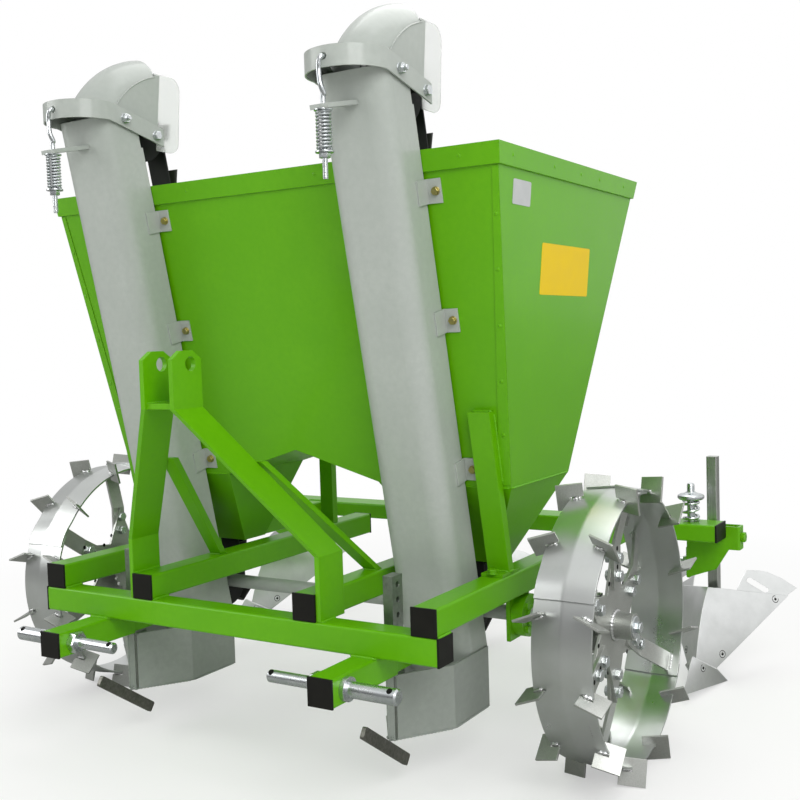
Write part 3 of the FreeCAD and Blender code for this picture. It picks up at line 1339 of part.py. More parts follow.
def ridger_holders():
    """Strap clamp round the shank on a flange plate, with a gusset below and a clamp screw."""
    plate = size("holder_plate")
    half = size("shank_size") / 2
    slack = size("turning_gap")
    start = -size("holder_inside")
    length = size("holder_length")
    height = size("holder_height")
    depth = 2 * plate + 2 * half + 2 * slack
    top = BEAM_TOP - size("holder_drop")
    low = top - height
    flange_low = low - size("holder_flange")
    strap = Part.makeBox(length, depth, height, Vector(start, REAR_FACE, low))
    slot = Part.makeBox(length - 2 * plate, depth - 2 * plate, 2 * height,
                        Vector(start + plate, REAR_FACE + plate, low - height / 2))
    strap = strap.cut(slot)
    corners = [edge for edge in strap.Edges
               if abs(edge.tangentAt(0).z) > 0.9 and edge.CenterOfMass.x > start + length - 1]
    strap = strap.makeFillet(plate - 1, corners)
    flange = Part.makeBox(plate, depth, size("holder_flange"), Vector(start, REAR_FACE, flange_low))
    gusset_run = size("holder_flange") + half * 2
    gusset = prism([(start, REAR_FACE, flange_low), (start, REAR_FACE, low),
                    (start + gusset_run, REAR_FACE, low), (start + gusset_run - 30, REAR_FACE, low - 49)],
                   (0, plate, 0))
    screw_start = half + slack
    screw_end = start + length - plate + 5.3
    screw = Part.makeCylinder(7, screw_end - screw_start, Vector(screw_start, SHANK_Y, (low + top) / 2 + 1.5),
                              Vector(1, 0, 0))
    solid = strap.fuse([flange, gusset, screw]).removeSplitter()
    per_ridger("ridger_holders", solid)


def trip_gear():
    """Upright rod on the rear beam beside each shank, with a spring under a domed washer."""
    y = size("rear_beam_front") + size("rear_beam_depth") / 2 + 3
    x = -size("trip_offset")
    washer_z = BEAM_TOP + LEDGE_AIR + size("trip_spring_length") + LEDGE_AIR
    foot = Vector(x, y, BEAM_TOP + SEAT_GAP)
    stem = Part.makeCylinder(size("trip_rod_dia") / 2, size("trip_rod_length"), foot)
    washer = Part.makeCylinder(size("trip_washer_dia") / 2, size("trip_washer"), Vector(x, y, washer_z))
    washer = washer.makeFillet(6, washer.Edges[0:1] + washer.Edges[2:3])
    per_ridger("trip_rods", stem.fuse(washer).removeSplitter())
    foot = Vector(x, y, BEAM_TOP + LEDGE_AIR)
    coil = Part.makeCylinder(size("trip_spring_dia") / 2, size("trip_spring_length"), foot)
    coil = coil.cut(Part.makeCylinder(size("trip_spring_bore") / 2, size("trip_spring_length"), foot))
    per_ridger("trip_springs", coil)


def both_sides(shape):
    return shape.fuse(shape.mirror(Vector(0, 0, 0), Vector(1, 0, 0))).removeSplitter()


def share_face():
    """Ruled face of a share's right half, on the floor along its rear edge."""
    nose = behind_beam([(0, -248.7, FLOOR_RISE + 22), (0, -168.7, 94)])
    rear = behind_beam([(42, -36.7, FLOOR_RISE), (36, -106.7, 54)])
    return Part.makeRuledSurface(Part.makeLine(*nose), Part.makeLine(*rear))


def ridger_bodies():
    plate = board_face().extrude(Vector(0, BOARD_THICK, 0))
    board = plate.common(outline_prism(BOARD_OUTLINE))
    per_ridger("ridger_mouldboards", both_sides(board))
    per_ridger("ridger_wings", both_sides(wing_plate()))
    share = share_face().extrude(Vector(0, SHARE_THICK, 0))
    per_ridger("ridger_shares", both_sides(share))


def ridger_frog():
    """Upright plate that ties the boards and the share to the shank."""
    half = 4
    ahead = REAR_FACE - 217
    shank_front = SHANK_Y - size("shank_size") / 2
    low = size("shank_low") + 2
    high = 205
    plate = prism([(-half, shank_front, low), (-half, shank_front, high), (-half, ahead, high),
                   (-half, ahead, 50), (-half, ahead + 80, 40)], (2 * half, 0, 0))
    for face, thick in ((board_face(), BOARD_THICK), (share_face(), SHARE_THICK)):
        cleared = face.extrude(Vector(0, -400, 0)).fuse(face.extrude(Vector(0, thick, 0)))
        plate = plate.cut(both_sides(cleared))
    return max(plate.Solids, key=lambda solid: solid.Volume)


# ---- Drive wheels: steel rims with square lugs, a star-shaped hub plate and bolted spokes ----

def wheel_lug(angle, side):
    """One lug plate that straddles an edge of the rim, slotted for the rim plate."""
    edge_x = side * size("rim_width") / 2
    half = size("lug_size") / 2
    plate = Part.makeBox(size("lug_size"), size("lug_thick"), size("lug_size"),
                         Vector(-half, -size("lug_thick") / 2, -half))
    plate.rotate(Vector(0, 0, 0), Vector(0, 0, 1), -side * size("lug_skew"))
    plate.translate(Vector(edge_x, 0, size("rim_radius")))
    plate.rotate(Vector(0, 0, 0), Vector(1, 0, 0), angle)
    return plate


def wheel_lugs():
    """Two lugs at each station, one on either edge of the rim."""
    half = size("rim_width") / 2
    radius = size("rim_radius")
    start = Vector(-half, 0, 0)
    along = Vector(1, 0, 0)
    rim = Part.makeCylinder(radius, 2 * half, start, along)
    rim = rim.cut(Part.makeCylinder(radius - size("rim_sheet"), 2 * half, start, along))
    lugs = []
    for station in range(LUG_STATIONS):
        turn = (station + 0.5) * 360 / LUG_STATIONS
        for side in (-1, 1):
            lugs.append(wheel_lug(turn, side).cut(rim))
    return Part.makeCompound(lugs)


def star_plate():
    """Six-pointed hub plate."""
    half = size("star_plate") / 2
    points = []
    for step in range(12):
        radius = size("star_radius") if step % 2 == 0 else size("star_root")
        angle = math.radians(30 * step)
        points.append((-half, radius * math.sin(angle), radius * math.cos(angle)))
    return prism(points, (2 * half, 0, 0))


def wheel_hub():
    inner = size("boss_inner")
    length = inner + size("boss_outer")
    start = Vector(-inner, 0, 0)
    along = Vector(1, 0, 0)
    boss = Part.makeCylinder(size("boss_dia") / 2, length, start, along)
    ratchet = Part.makeCylinder(size("ratchet_dia") / 2, size("ratchet_thick"), start, along)
    bore = Part.makeCylinder(size("shaft_dia") / 2 + size("turning_gap"), length, start, along)
    return star_plate().fuse([boss, ratchet]).cut(bore).removeSplitter()


def wheel_spokes():
    """Flat bars bolted to alternate faces of the star and spread to the two sides of the rim."""
    reach = size("rim_radius") - size("rim_sheet") - SEAT_GAP
    wide = size("rim_width")
    inside = Part.makeCylinder(reach, 2 * wide, Vector(-wide, 0, 0), Vector(1, 0, 0))
    half_thick = size("spoke_thick") / 2
    half_width = size("spoke_width") / 2
    near = size("star_plate") / 2 + half_thick + 0.1
    far = near + size("rim_width") / 2 - size("spoke_inset")
    start = size("spoke_start")
    bend = size("star_radius")
    end = size("rim_radius") + size("rim_sheet")
    bars = []
    for step in range(6):
        side = 1 if step % 2 == 0 else -1
        foot = slab_loft([(side * near, 0, start, half_thick, half_width),
                          (side * near, 0, bend, half_thick, half_width)])
        arm = slab_loft([(side * near, 0, bend, half_thick, half_width),
                         (side * far, 0, end, half_thick, half_width)])
        bar = foot.fuse(arm).removeSplitter().common(inside)
        bar.rotate(Vector(0, 0, 0), Vector(1, 0, 0), 60 * step)
        bars.append(bar)
    return Part.makeCompound(bars)


def wheel_rim():
    start = at(size("wheel_inner_x"), AXLE_Y, AXLE_Z, ALONG_X)
    rim = pipe("wheel_rim", "2 * rim_radius", "2 * ( rim_radius - rim_sheet )", "rim_width", start)
    keep(rim, "right_wheel_rim")
    mirrored(rim, "left_wheel_rim")


def wheels():
    wheel_rim()
    seat = at(WHEEL_MIDDLE, AXLE_Y, AXLE_Z)
    for name, shape in (("lugs", wheel_lugs()), ("hub", wheel_hub()), ("spokes", wheel_spokes())):
        right = feature("right_wheel_" + name, shape, seat)
        mirrored(right, "left_wheel_" + name)


def build():
    front_beam()
    long_beams()
    rear_beam()
    end_caps()
    hitch_bracket()
    hitch_pin()
    headstock_leg()
    headstock_spacer()
    headstock_braces()
    hopper_walls()
    hopper_rim()
    funnel()
    front_posts()
    rear_posts()
    seed_tube()
    tube_clips()
    tube_head()
    head_guards()
    tension_gear()
    cup_belts()
    seed_cups()
    belt_pulleys()
    cross_shaft()
    shaft_bearings()
    opener_boot()
    depth_bars()
    depth_clamps()
    opener_knives()
    ridger_shanks()
    ridger_holders()
    trip_gear()
    ridger_bodies()
    wheels()


def check_document():
    doc.recompute()
    for thing in doc.Objects:
        if "Invalid" in thing.State or "Error" in thing.State:
            raise RuntimeError("%s did not build: %s" % (thing.Label, thing.State))
    for piece in pieces:
        if piece.Shape.isNull() or not piece.Shape.isValid():
            raise RuntimeError("%s has no valid shape" % piece.Label)
        if not piece.Shape.Solids:
            raise RuntimeError("%s has no solid" % piece.Label)


def write_parts():
    os.makedirs("parts", exist_ok=True)
    for piece in pieces:
        piece.Shape.exportStep("parts/%s.step" % piece.Label)
    print("%d sub-parts written" % len(pieces))


build()
check_document()
write_parts()
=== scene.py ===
"""Looks of a two-row potato planter for a tractor's linkage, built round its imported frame."""
import math

import bpy
import numpy as np
from mathutils import Matrix, Vector
from mathutils.bvhtree import BVHTree


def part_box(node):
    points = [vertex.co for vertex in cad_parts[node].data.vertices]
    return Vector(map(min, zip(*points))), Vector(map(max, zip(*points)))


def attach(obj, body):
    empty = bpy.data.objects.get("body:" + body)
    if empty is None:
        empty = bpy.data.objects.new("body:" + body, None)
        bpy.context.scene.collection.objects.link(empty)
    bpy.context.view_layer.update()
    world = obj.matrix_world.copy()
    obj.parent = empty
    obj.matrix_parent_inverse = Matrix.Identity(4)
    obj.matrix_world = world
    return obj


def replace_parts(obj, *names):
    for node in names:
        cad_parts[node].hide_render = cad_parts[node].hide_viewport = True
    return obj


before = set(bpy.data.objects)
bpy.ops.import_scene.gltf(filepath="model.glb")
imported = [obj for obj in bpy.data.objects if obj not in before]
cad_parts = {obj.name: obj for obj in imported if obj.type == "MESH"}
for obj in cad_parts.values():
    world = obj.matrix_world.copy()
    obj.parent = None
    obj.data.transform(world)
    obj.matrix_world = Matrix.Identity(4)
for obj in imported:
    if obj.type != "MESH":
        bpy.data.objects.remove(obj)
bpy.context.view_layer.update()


# ---- Main frame -------------------------------------------------------------------------------
# Square steel tubes and flat bars, MIG-welded where they cross, shot-blasted and powder coated in
# one bright yellow-green. The cured coat is thick and glossy, with a faint orange peel.

MM = 0.001
front_low, front_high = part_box("front_beam")
DATUM = np.array([0.0, front_low.y, front_high.z - 330 * MM])


def placed(points):
    """Metres in the frame, from millimetres: x from the middle, y behind the front beam's front
    face, z above a level 330 mm below that beam's top face."""
    return np.asarray(points, dtype=float) * MM + DATUM


def linear(code):
    """sRGB hex to linear: a channel under 0.04045 is divided by 12.92, the rest go through the
    2.4 power of (c + 0.055) / 1.055."""
    channels = np.array([int(code[place:place + 2], 16) for place in (1, 3, 5)]) / 255
    curve = ((channels + 0.055) / 1.055) ** 2.4
    return (*np.where(channels <= 0.04045, channels / 12.92, curve).tolist(), 1.0)


def node(tree, kind, inputs=None, **settings):
    """Adds one node. A value in inputs is either a plain value or another node's output."""
    made = tree.nodes.new(kind)
    for name, value in settings.items():
        setattr(made, name, value)
    for socket, value in (inputs or {}).items():
        if isinstance(value, bpy.types.NodeSocket):
            tree.links.new(value, made.inputs[socket])
        else:
            made.inputs[socket].default_value = value
    return made


def new_material(name):
    """An empty node material with its shader and its output joined."""
    material = bpy.data.materials.new(name)
    material.use_nodes = True
    tree = material.node_tree
    tree.nodes.clear()
    shader = node(tree, "ShaderNodeBsdfPrincipled")
    node(tree, "ShaderNodeOutputMaterial", {"Surface": shader.outputs["BSDF"]})
    return material, tree, shader


def powder_coat(name, colour, thin, roughness, coat, peel_mm=3.0, edge_mm=1.6):
    """Cured polyester coat over steel: an even colour that drifts a little in thickness, with a
    painted highlight that lightens the outer edges towards thin, under a clear gloss with an orange
    peel of peel_mm."""
    material, tree, shader = new_material(name)
    place = node(tree, "ShaderNodeTexCoord").outputs["Object"]
    drift = node(tree, "ShaderNodeTexNoise", {"Vector": place, "Scale": 1 / 0.11, "Detail": 3.0})
    mottle = node(tree, "ShaderNodeTexNoise", {"Vector": place, "Scale": 1 / 0.012, "Detail": 2.0})
    both = node(tree, "ShaderNodeMath", {0: drift.outputs["Fac"], 1: mottle.outputs["Fac"]},
                operation="MULTIPLY")
    tone = node(tree, "ShaderNodeMapRange", {"Value": both.outputs[0], "From Min": 0.12,
                                             "From Max": 0.42, "To Min": 0.0, "To Max": 0.22})
    edge = node(tree, "ShaderNodeBevel", {"Radius": edge_mm * MM}, samples=4)
    flat = node(tree, "ShaderNodeNewGeometry")
    turn = node(tree, "ShaderNodeVectorMath", {0: edge.outputs["Normal"], 1: flat.outputs["Normal"]},
                operation="DOT_PRODUCT")
    # rim is a painted edge highlight: up to a third of the way to the lighter colour where the edge
    # normal turns away from the flat one.
    rim = node(tree, "ShaderNodeMapRange", {"Value": turn.outputs["Value"], "From Min": 0.985,
                                            "From Max": 0.80, "To Min": 0.0, "To Max": 0.35})
    amount = node(tree, "ShaderNodeMath", {0: tone.outputs[0], 1: rim.outputs[0]}, operation="ADD")
    mix = node(tree, "ShaderNodeMix", {"Factor": amount.outputs[0], "A": linear(colour),
                                       "B": linear(thin)}, data_type="RGBA")
    tree.links.new(mix.outputs["Result"], shader.inputs["Base Color"])
    rough = node(tree, "ShaderNodeMapRange", {"Value": mottle.outputs["Fac"],
                                              "To Min": roughness - 0.05,
                                              "To Max": roughness + 0.07})
    tree.links.new(rough.outputs[0], shader.inputs["Roughness"])
    peel = node(tree, "ShaderNodeTexNoise", {"Vector": place, "Scale": 1 / (peel_mm * MM),
                                             "Detail": 1.0, "Roughness": 0.4})
    bump = node(tree, "ShaderNodeBump", {"Strength": 0.10, "Distance": 0.0004,
                                         "Height": peel.outputs["Fac"],
                                         "Normal": edge.outputs["Normal"]})
    tree.links.new(bump.outputs[0], shader.inputs["Normal"])
    shader.inputs["Coat Weight"].default_value = coat
    shader.inputs["Coat Roughness"].default_value = 0.12
    shader.inputs["IOR"].default_value = 1.33
    return material


green_coat = powder_coat("green polyester powder coat", "#5AA200", "#70B805", 0.36, 0.12)


def dress(names, material):
    """Gives CAD nodes their material."""
    for name in names:
        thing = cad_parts[name]
        thing.data.materials.clear()
        thing.data.materials.append(material)


def sides_of(*parts):
    """The names of a part's left and right nodes."""
    return [side + "_" + part for part in parts for side in ("left", "right")]


dress(["front_beam", "rear_beam", "headstock_spacer", "headstock_braces"], green_coat)
dress(sides_of("outer_beam", "inner_beam", "hitch_bracket", "headstock_leg"), green_coat)


def skin(points, ends=True):
    """Corners and faces of a grid of points (rows, columns, 3): a quad between each four
    neighbours, the last column joined to the first, and a flat face over each end row. If the
    enclosed volume comes out negative, every face is turned over."""
    rows, columns = points.shape[:2]
    index = np.arange(rows * columns).reshape(rows, columns)
    beside = np.roll(index, -1, axis=1)
    quads = np.stack([index[:-1], beside[:-1], beside[1:], index[1:]], axis=-1).reshape(-1, 4)
    flat = points.reshape(-1, 3)
    shifted = flat - flat.mean(axis=0)
    first, second, third, fourth = (shifted[quads[:, place]] for place in range(4))
    volume = np.sum(first * (np.cross(second, third) + np.cross(third, fourth)))
    for ring in (index[0][::-1], index[-1]):
        fan = shifted[ring]
        volume += np.sum(fan[0] * np.cross(fan[1:-1], fan[2:]))
    faces = quads.tolist()
    if ends:
        faces += [index[0][::-1].tolist(), index[-1].tolist()]
    if volume < 0:
        faces = [face[::-1] for face in faces]
    return flat, faces


def piece(name, skins, material, body, sharp=40):
    """One object from several skins given in millimetres, riding on a body."""
    corners, faces, start = [], [], 0
    for points, quads in skins:
        corners.append(points)
        faces += [[corner + start for corner in face] for face in quads]
        start += len(points)
    mesh = bpy.data.meshes.new(name)
    mesh.from_pydata(placed(np.concatenate(corners)).tolist(), [], faces)
    mesh.materials.append(material)
    mesh.polygons.foreach_set("use_smooth", [True] * len(mesh.polygons))
    mesh.set_sharp_from_angle(angle=math.radians(sharp))
    mesh.update()
    thing = bpy.data.objects.new(name, mesh)
    bpy.context.scene.collection.objects.link(thing)
    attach(thing, body)
    return thing


def across_to(direction):
    """Two unit vectors square to a direction and to each other, right-handed with it."""
    direction = np.asarray(direction, dtype=float)
    direction = direction / np.linalg.norm(direction)
    helper = np.array([0.0, 0.0, 1.0]) if abs(direction[2]) < 0.9 else np.array([1.0, 0.0, 0.0])
    first = np.cross(helper, direction)
    first /= np.linalg.norm(first)
    return direction, first, np.cross(direction, first)


def swept(path, radius, up, sides=8):
    """A round bar along a path: at each point a circle of its radius stands square to the path's
    run, its first axis square to both the run and up."""
    path = np.asarray(path, dtype=float)
    run = np.gradient(path, axis=0)
    run /= np.linalg.norm(run, axis=1, keepdims=True)
    first = np.cross(np.broadcast_to(np.asarray(up, dtype=float), run.shape), run)
    first /= np.linalg.norm(first, axis=1, keepdims=True)
    second = np.cross(run, first)
    turn = np.linspace(0, 2 * np.pi, sides, endpoint=False)[None, :, None]
    ring = first[:, None] * np.cos(turn) + second[:, None] * np.sin(turn)
    radius = np.broadcast_to(np.asarray(radius, dtype=float), (len(path),))
    return skin(path[:, None] + ring * radius[:, None, None])


def bead(start, end, radius=3.2, pitch=5.0):
    """A weld bead along a straight corner: a bar whose radius swells and falls by a sixth once
    every pitch, fading out at both ends."""
    start, end = np.asarray(start, dtype=float), np.asarray(end, dtype=float)
    length = np.linalg.norm(end - start)
    along = np.linspace(0, 1, max(6, int(length / pitch * 4)))
    ripple = 1 + np.sin(2 * np.pi * along * length / pitch) / 6
    fade = np.minimum(1, np.minimum(along, 1 - along) * length / 5 + 0.35)
    up = across_to(end - start)[1]
    return swept(start + along[:, None] * (end - start), radius * ripple * fade, up)


BEAM_SIZE, BEAM_TOP, FRONT_TOP = 50, 380, 330
INNER_FACES, OUTER_FACES, BRACKET_FACES = (175, 225), (425, 475), (300, 350)
FRONT_FOOT, REAR_FACE, THIN_BEAD = 280, 937, 2.6
LEG_OUT, SPACER_X, SPACER_RUN, SPACER_FACES = 235, 30, (-135, -72), (721, 731)
BRACE_EDGES, BRACE_SIDES = (223, 241), (185, 215)
beads = []
for sign in (-1, 1):
    for x in INNER_FACES + OUTER_FACES + (LEG_OUT,):
        beads.append(bead((sign * x, 5, FRONT_TOP), (sign * x, BEAM_SIZE, FRONT_TOP)))
    for x in BRACKET_FACES:
        beads.append(bead((sign * x, 0, FRONT_FOOT), (sign * x, BEAM_SIZE, FRONT_FOOT)))
    for y in (0, BEAM_SIZE):
        beads.append(bead((sign * BRACKET_FACES[0], y, FRONT_FOOT),
                          (sign * BRACKET_FACES[1], y, FRONT_FOOT)))
    beads.append(bead((sign * INNER_FACES[1], 5, BEAM_TOP), (sign * INNER_FACES[1], 79, BEAM_TOP)))
    for z in SPACER_FACES:
        beads.append(bead((sign * SPACER_X, SPACER_RUN[0], z), (sign * SPACER_X, SPACER_RUN[1], z),
                          THIN_BEAD))
    for y in BRACE_EDGES:
        beads.append(bead((sign * BRACE_SIDES[0], y, BEAM_TOP), (sign * BRACE_SIDES[1], y, BEAM_TOP),
                          THIN_BEAD))
    for x in OUTER_FACES:
        beads.append(bead((sign * x, REAR_FACE, 342), (sign * x, REAR_FACE, 378)))
    beads.append(bead((sign * OUTER_FACES[0], REAR_FACE, BEAM_TOP),
                      (sign * OUTER_FACES[1], REAR_FACE, BEAM_TOP)))
piece("frame_welds", beads, green_coat, "frame", sharp=180)


# ---- Tube end caps ------------------------------------------------------------------------------
# Injection-moulded polyethylene plugs pushed into the open tube ends: black, slightly satin from
# the mould's spark-eroded grain.

def moulded(name, colour, pale, roughness, grain_mm):
    """Moulded plastic or rubber: a nearly even colour with a fine grain of grain_mm."""
    material, tree, shader = new_material(name)
    place = node(tree, "ShaderNodeTexCoord").outputs["Object"]
    drift = node(tree, "ShaderNodeTexNoise", {"Vector": place, "Scale": 1 / 0.03, "Detail": 3.0})
    mix = node(tree, "ShaderNodeMix", {"Factor": drift.outputs["Fac"], "A": linear(colour),
                                       "B": linear(pale)}, data_type="RGBA")
    tree.links.new(mix.outputs["Result"], shader.inputs["Base Color"])
    rough = node(tree, "ShaderNodeMapRange", {"Value": drift.outputs["Fac"],
                                              "To Min": roughness - 0.06,
                                              "To Max": roughness + 0.06})
    tree.links.new(rough.outputs[0], shader.inputs["Roughness"])
    grain = node(tree, "ShaderNodeTexNoise", {"Vector": place, "Scale": 1 / (grain_mm * MM)})
    edge = node(tree, "ShaderNodeBevel", {"Radius": 0.002}, samples=4)
    bump = node(tree, "ShaderNodeBump", {"Strength": 0.12, "Distance": 0.0003,
                                         "Height": grain.outputs["Fac"],
                                         "Normal": edge.outputs["Normal"]})
    tree.links.new(bump.outputs[0], shader.inputs["Normal"])
    shader.inputs["IOR"].default_value = 1.3
    return material


black_plastic = moulded("black moulded polyethylene", "#0E0E0B", "#1A1915", 0.5, 1.5)
dress(["beam_end_caps", "seed_cups"], black_plastic)


# ---- Hitch pins ---------------------------------------------------------------------------------
# Turned steel pins, zinc plated and bright, drawn up against the bracket by a hexagon nut and
# drilled near each end for a linch pin.

def steel(name, colour, shade, roughness, grain_mm, stretch=(1, 1, 1), bump=0.15, cloud_mm=60):
    """Bare or plated steel: tone and roughness drift together along the grain that the mill, the
    brush or the bath left, which is grain_mm across and drawn out by stretch."""
    material, tree, shader = new_material(name)
    place = node(tree, "ShaderNodeTexCoord").outputs["Object"]
    along = node(tree, "ShaderNodeMapping", {"Vector": place, "Scale": stretch})
    grain = node(tree, "ShaderNodeTexNoise", {"Vector": along.outputs[0],
                                              "Scale": 1 / (grain_mm * MM), "Detail": 4.0,
                                              "Roughness": 0.6})
    cloud = node(tree, "ShaderNodeTexNoise", {"Vector": place, "Scale": 1 / (cloud_mm * MM),
                                              "Detail": 3.0})
    both = node(tree, "ShaderNodeMath", {0: grain.outputs["Fac"], 1: cloud.outputs["Fac"]},
                operation="ADD")
    tone = node(tree, "ShaderNodeMapRange", {"Value": both.outputs[0], "From Min": 0.7,
                                             "From Max": 1.3})
    edge = node(tree, "ShaderNodeBevel", {"Radius": 0.0012}, samples=4)
    mix = node(tree, "ShaderNodeMix", {"Factor": tone.outputs[0], "A": linear(shade),
                                       "B": linear(colour)}, data_type="RGBA")
    tree.links.new(mix.outputs["Result"], shader.inputs["Base Color"])
    rough = node(tree, "ShaderNodeMapRange", {"Value": tone.outputs[0], "To Min": roughness + 0.08,
                                              "To Max": roughness - 0.05})
    tree.links.new(rough.outputs[0], shader.inputs["Roughness"])
    lift = node(tree, "ShaderNodeBump", {"Strength": bump, "Distance": 0.0004,
                                         "Height": grain.outputs["Fac"],
                                         "Normal": edge.outputs["Normal"]})
    tree.links.new(lift.outputs[0], shader.inputs["Normal"])
    shader.inputs["Metallic"].default_value = 1.0
    return material


zinc = steel("bright zinc plate", "#D9DDDE", "#BFC4C6", 0.27, 8, bump=0.015)
dress(sides_of("hitch_pin"), zinc)


def turned(profile, base, direction, sides=24):
    """A turned piece: each (radius, height) of the profile is a ring square to the direction, at
    that height above the base; six sides make a hexagon of that corner radius."""
    direction, first, second = across_to(direction)
    profile = np.asarray(profile, dtype=float)
    turn = np.linspace(0, 2 * np.pi, sides, endpoint=False)[None, :, None]
    ring = first * np.cos(turn) + second * np.sin(turn)
    points = (np.asarray(base, dtype=float) + profile[:, 1, None, None] * direction
              + profile[:, 0, None, None] * ring)
    return skin(points)


def hexagon(across, high, base, direction):
    """A hexagon head or nut, its corners broken by a chamfer."""
    corner = across / math.sqrt(3)
    return turned([(corner * 0.985, 0), (corner, 0.4), (corner, high - across * 0.05),
                   (corner * 0.90, high)], base, direction, sides=6)


def bolt(base, direction, across=13, washer=8):
    """A hexagon bolt head on a round washer, standing on a face."""
    direction = np.asarray(direction, dtype=float) / np.linalg.norm(direction)
    base = np.asarray(base, dtype=float)
    ring = turned([(washer, -0.4), (washer, 1.2), (washer - 0.4, 1.6)], base, direction)
    return [ring, hexagon(across, across * 0.42, base + 1.6 * direction, direction)]


PIN_Y, PIN_Z, BRACKET_INSIDE = -90, 255, 299.8
LINCH_HOLES = ((441, 14), (198, 11))
nuts, holes = [], []
for sign in (-1, 1):
    nuts.append(hexagon(38, 16.2, (sign * BRACKET_INSIDE, PIN_Y, PIN_Z), (-sign, 0, 0)))
    for x, radius in LINCH_HOLES:
        for turn in (0.6, 0.6 + math.pi):
            out = np.array([0.0, -math.sin(turn), math.cos(turn)])
            holes.append(turned([(5.6, radius - 1.5), (5.2, radius + 0.25), (4.6, radius + 0.1)],
                                (sign * x, PIN_Y, PIN_Z), out, sides=16))
piece("hitch_pin_nuts", nuts, zinc, "frame", sharp=20)
shadow_steel = steel("unlit steel inside a drilled hole", "#2A2A29", "#1A1A19", 0.7, 4)
piece("linch_pin_holes", holes, shadow_steel, "frame")


# ---- Hopper -------------------------------------------------------------------------------------
# Four sheet-steel walls folded and riveted at the corners, with a deeper band folded over the rim;
# all powder coated after welding, so rivets and seams are green too.

dress(["hopper_front_wall", "hopper_rear_wall", "hopper_left_wall", "hopper_right_wall",
       "hopper_raised_floor", "hopper_rim", "hopper_front_posts", "hopper_rear_posts"], green_coat)
dress(sides_of("funnel"), green_coat)

RIM_Z, FLOOR_Z, WALL_SLOPE, WALL_TOP_Y = 1165, 548, 0.22, 135
TILT, DEPTH = math.atan(WALL_SLOPE), RIM_Z - FLOOR_Z
HALF_LOW, HALF_GAIN, REAR_LOW, REAR_GAIN = 489, 56, 542, 276


def wall_y(height):
    """Front face of the leaning front wall at a height."""
    return WALL_TOP_Y + WALL_SLOPE * (RIM_Z - height)


def wall_x(height):
    """Outer face of a side wall at a height."""
    return HALF_LOW + HALF_GAIN * (height - FLOOR_Z) / DEPTH


def rear_y(height):
    """Outer face of the rear wall at a height."""
    return REAR_LOW + REAR_GAIN * (height - FLOOR_Z) / DEPTH


def folded_strip(sign, rear):
    """A flange folded round a corner and laid on a wall: at each height four corners of a thin
    bar that reaches inwards from the side wall, wider towards the hopper's floor."""
    levels, low_width, high_width = 12, 24, 12
    height = np.linspace(FLOOR_Z + 6, RIM_Z - 40, levels)
    outer = wall_x(height) - 0.6
    inner = outer - np.linspace(low_width, high_width, levels)
    face, proud = (rear_y(height), 1.3) if rear else (wall_y(height), -1.3)
    corners = [(inner, face - 0.3 * proud), (outer, face - 0.3 * proud),
               (outer, face + proud), (inner, face + proud)]
    grid = np.stack([np.stack([sign * x, y, height], axis=-1) for x, y in corners], axis=1)
    return skin(grid)


def rivet(base, direction, radius=4.0):
    """A low domed rivet head."""
    arc = np.linspace(0, 1, 5)
    return turned(np.stack([radius * np.cos(arc * 1.35), 0.45 * radius * np.sin(arc * 1.35) - 0.1],
                           axis=-1), base, direction, sides=12)


strips, rivets = [], []
BAND_Z, BAND_PROUD = 1147, 4.4
front_out, rear_out = (0, -math.cos(TILT), -math.sin(TILT)), (0, 1, -0.45)
for sign in (-1, 1):
    for rear in (False, True):
        strips.append(folded_strip(sign, rear))
    for height in (1045, 950, 850, 750, 650):
        inset = 12 - 5 * (height - FLOOR_Z) / DEPTH
        rivets.append(rivet((sign * (wall_x(height) - inset), wall_y(height) - 1.1, height),
                            front_out))
        rivets.append(rivet((sign * (wall_x(height) - inset), rear_y(height) + 1.1, height),
                            rear_out))
    for y in (190, 370, 500, 600, 740):
        rivets.append(rivet((sign * (wall_x(BAND_Z) + BAND_PROUD), y, BAND_Z), (sign, 0, -0.09)))
for x in (-470, -160, 160, 470):
    rivets.append(rivet((x, wall_y(BAND_Z) - BAND_PROUD, BAND_Z), front_out))
    rivets.append(rivet((x, rear_y(BAND_Z) + BAND_PROUD, BAND_Z), rear_out))
piece("hopper_corner_flanges", strips, green_coat, "frame", sharp=20)
piece("hopper_rivets", rivets, green_coat, "frame", sharp=70)

POST_FACES, POST_FOOT, POST_BEAD, SEAM_PITCH = (427.5, 472.5), 386.5, 3.0, 8
beads = []
for sign in (-1, 1):
    for x in POST_FACES:
        beads.append(bead((sign * x, wall_y(556), 556), (sign * x, wall_y(690), 690), POST_BEAD))
    top_y = wall_y(694) - 2
    beads.append(bead((sign * 430, top_y, 694.5), (sign * 470, top_y, 694.5), 3.4))
    for x in POST_FACES:
        beads.append(bead((sign * x, 287, POST_FOOT), (sign * x, 305, POST_FOOT), POST_BEAD))
    beads.append(bead((sign * 429, 286, POST_FOOT), (sign * 471, 286, POST_FOOT), POST_BEAD))
    beads.append(bead((sign * HALF_LOW, 275, FLOOR_Z), (sign * HALF_LOW, 538, FLOOR_Z), 2.4,
                      SEAM_PITCH))
    low_y = wall_y(FLOOR_Z) + 0.5
    beads.append(bead((sign * 200, low_y, FLOOR_Z), (sign * 485, low_y, FLOOR_Z), 1.8, SEAM_PITCH))
piece("hopper_welds", beads, green_coat, "frame", sharp=180)


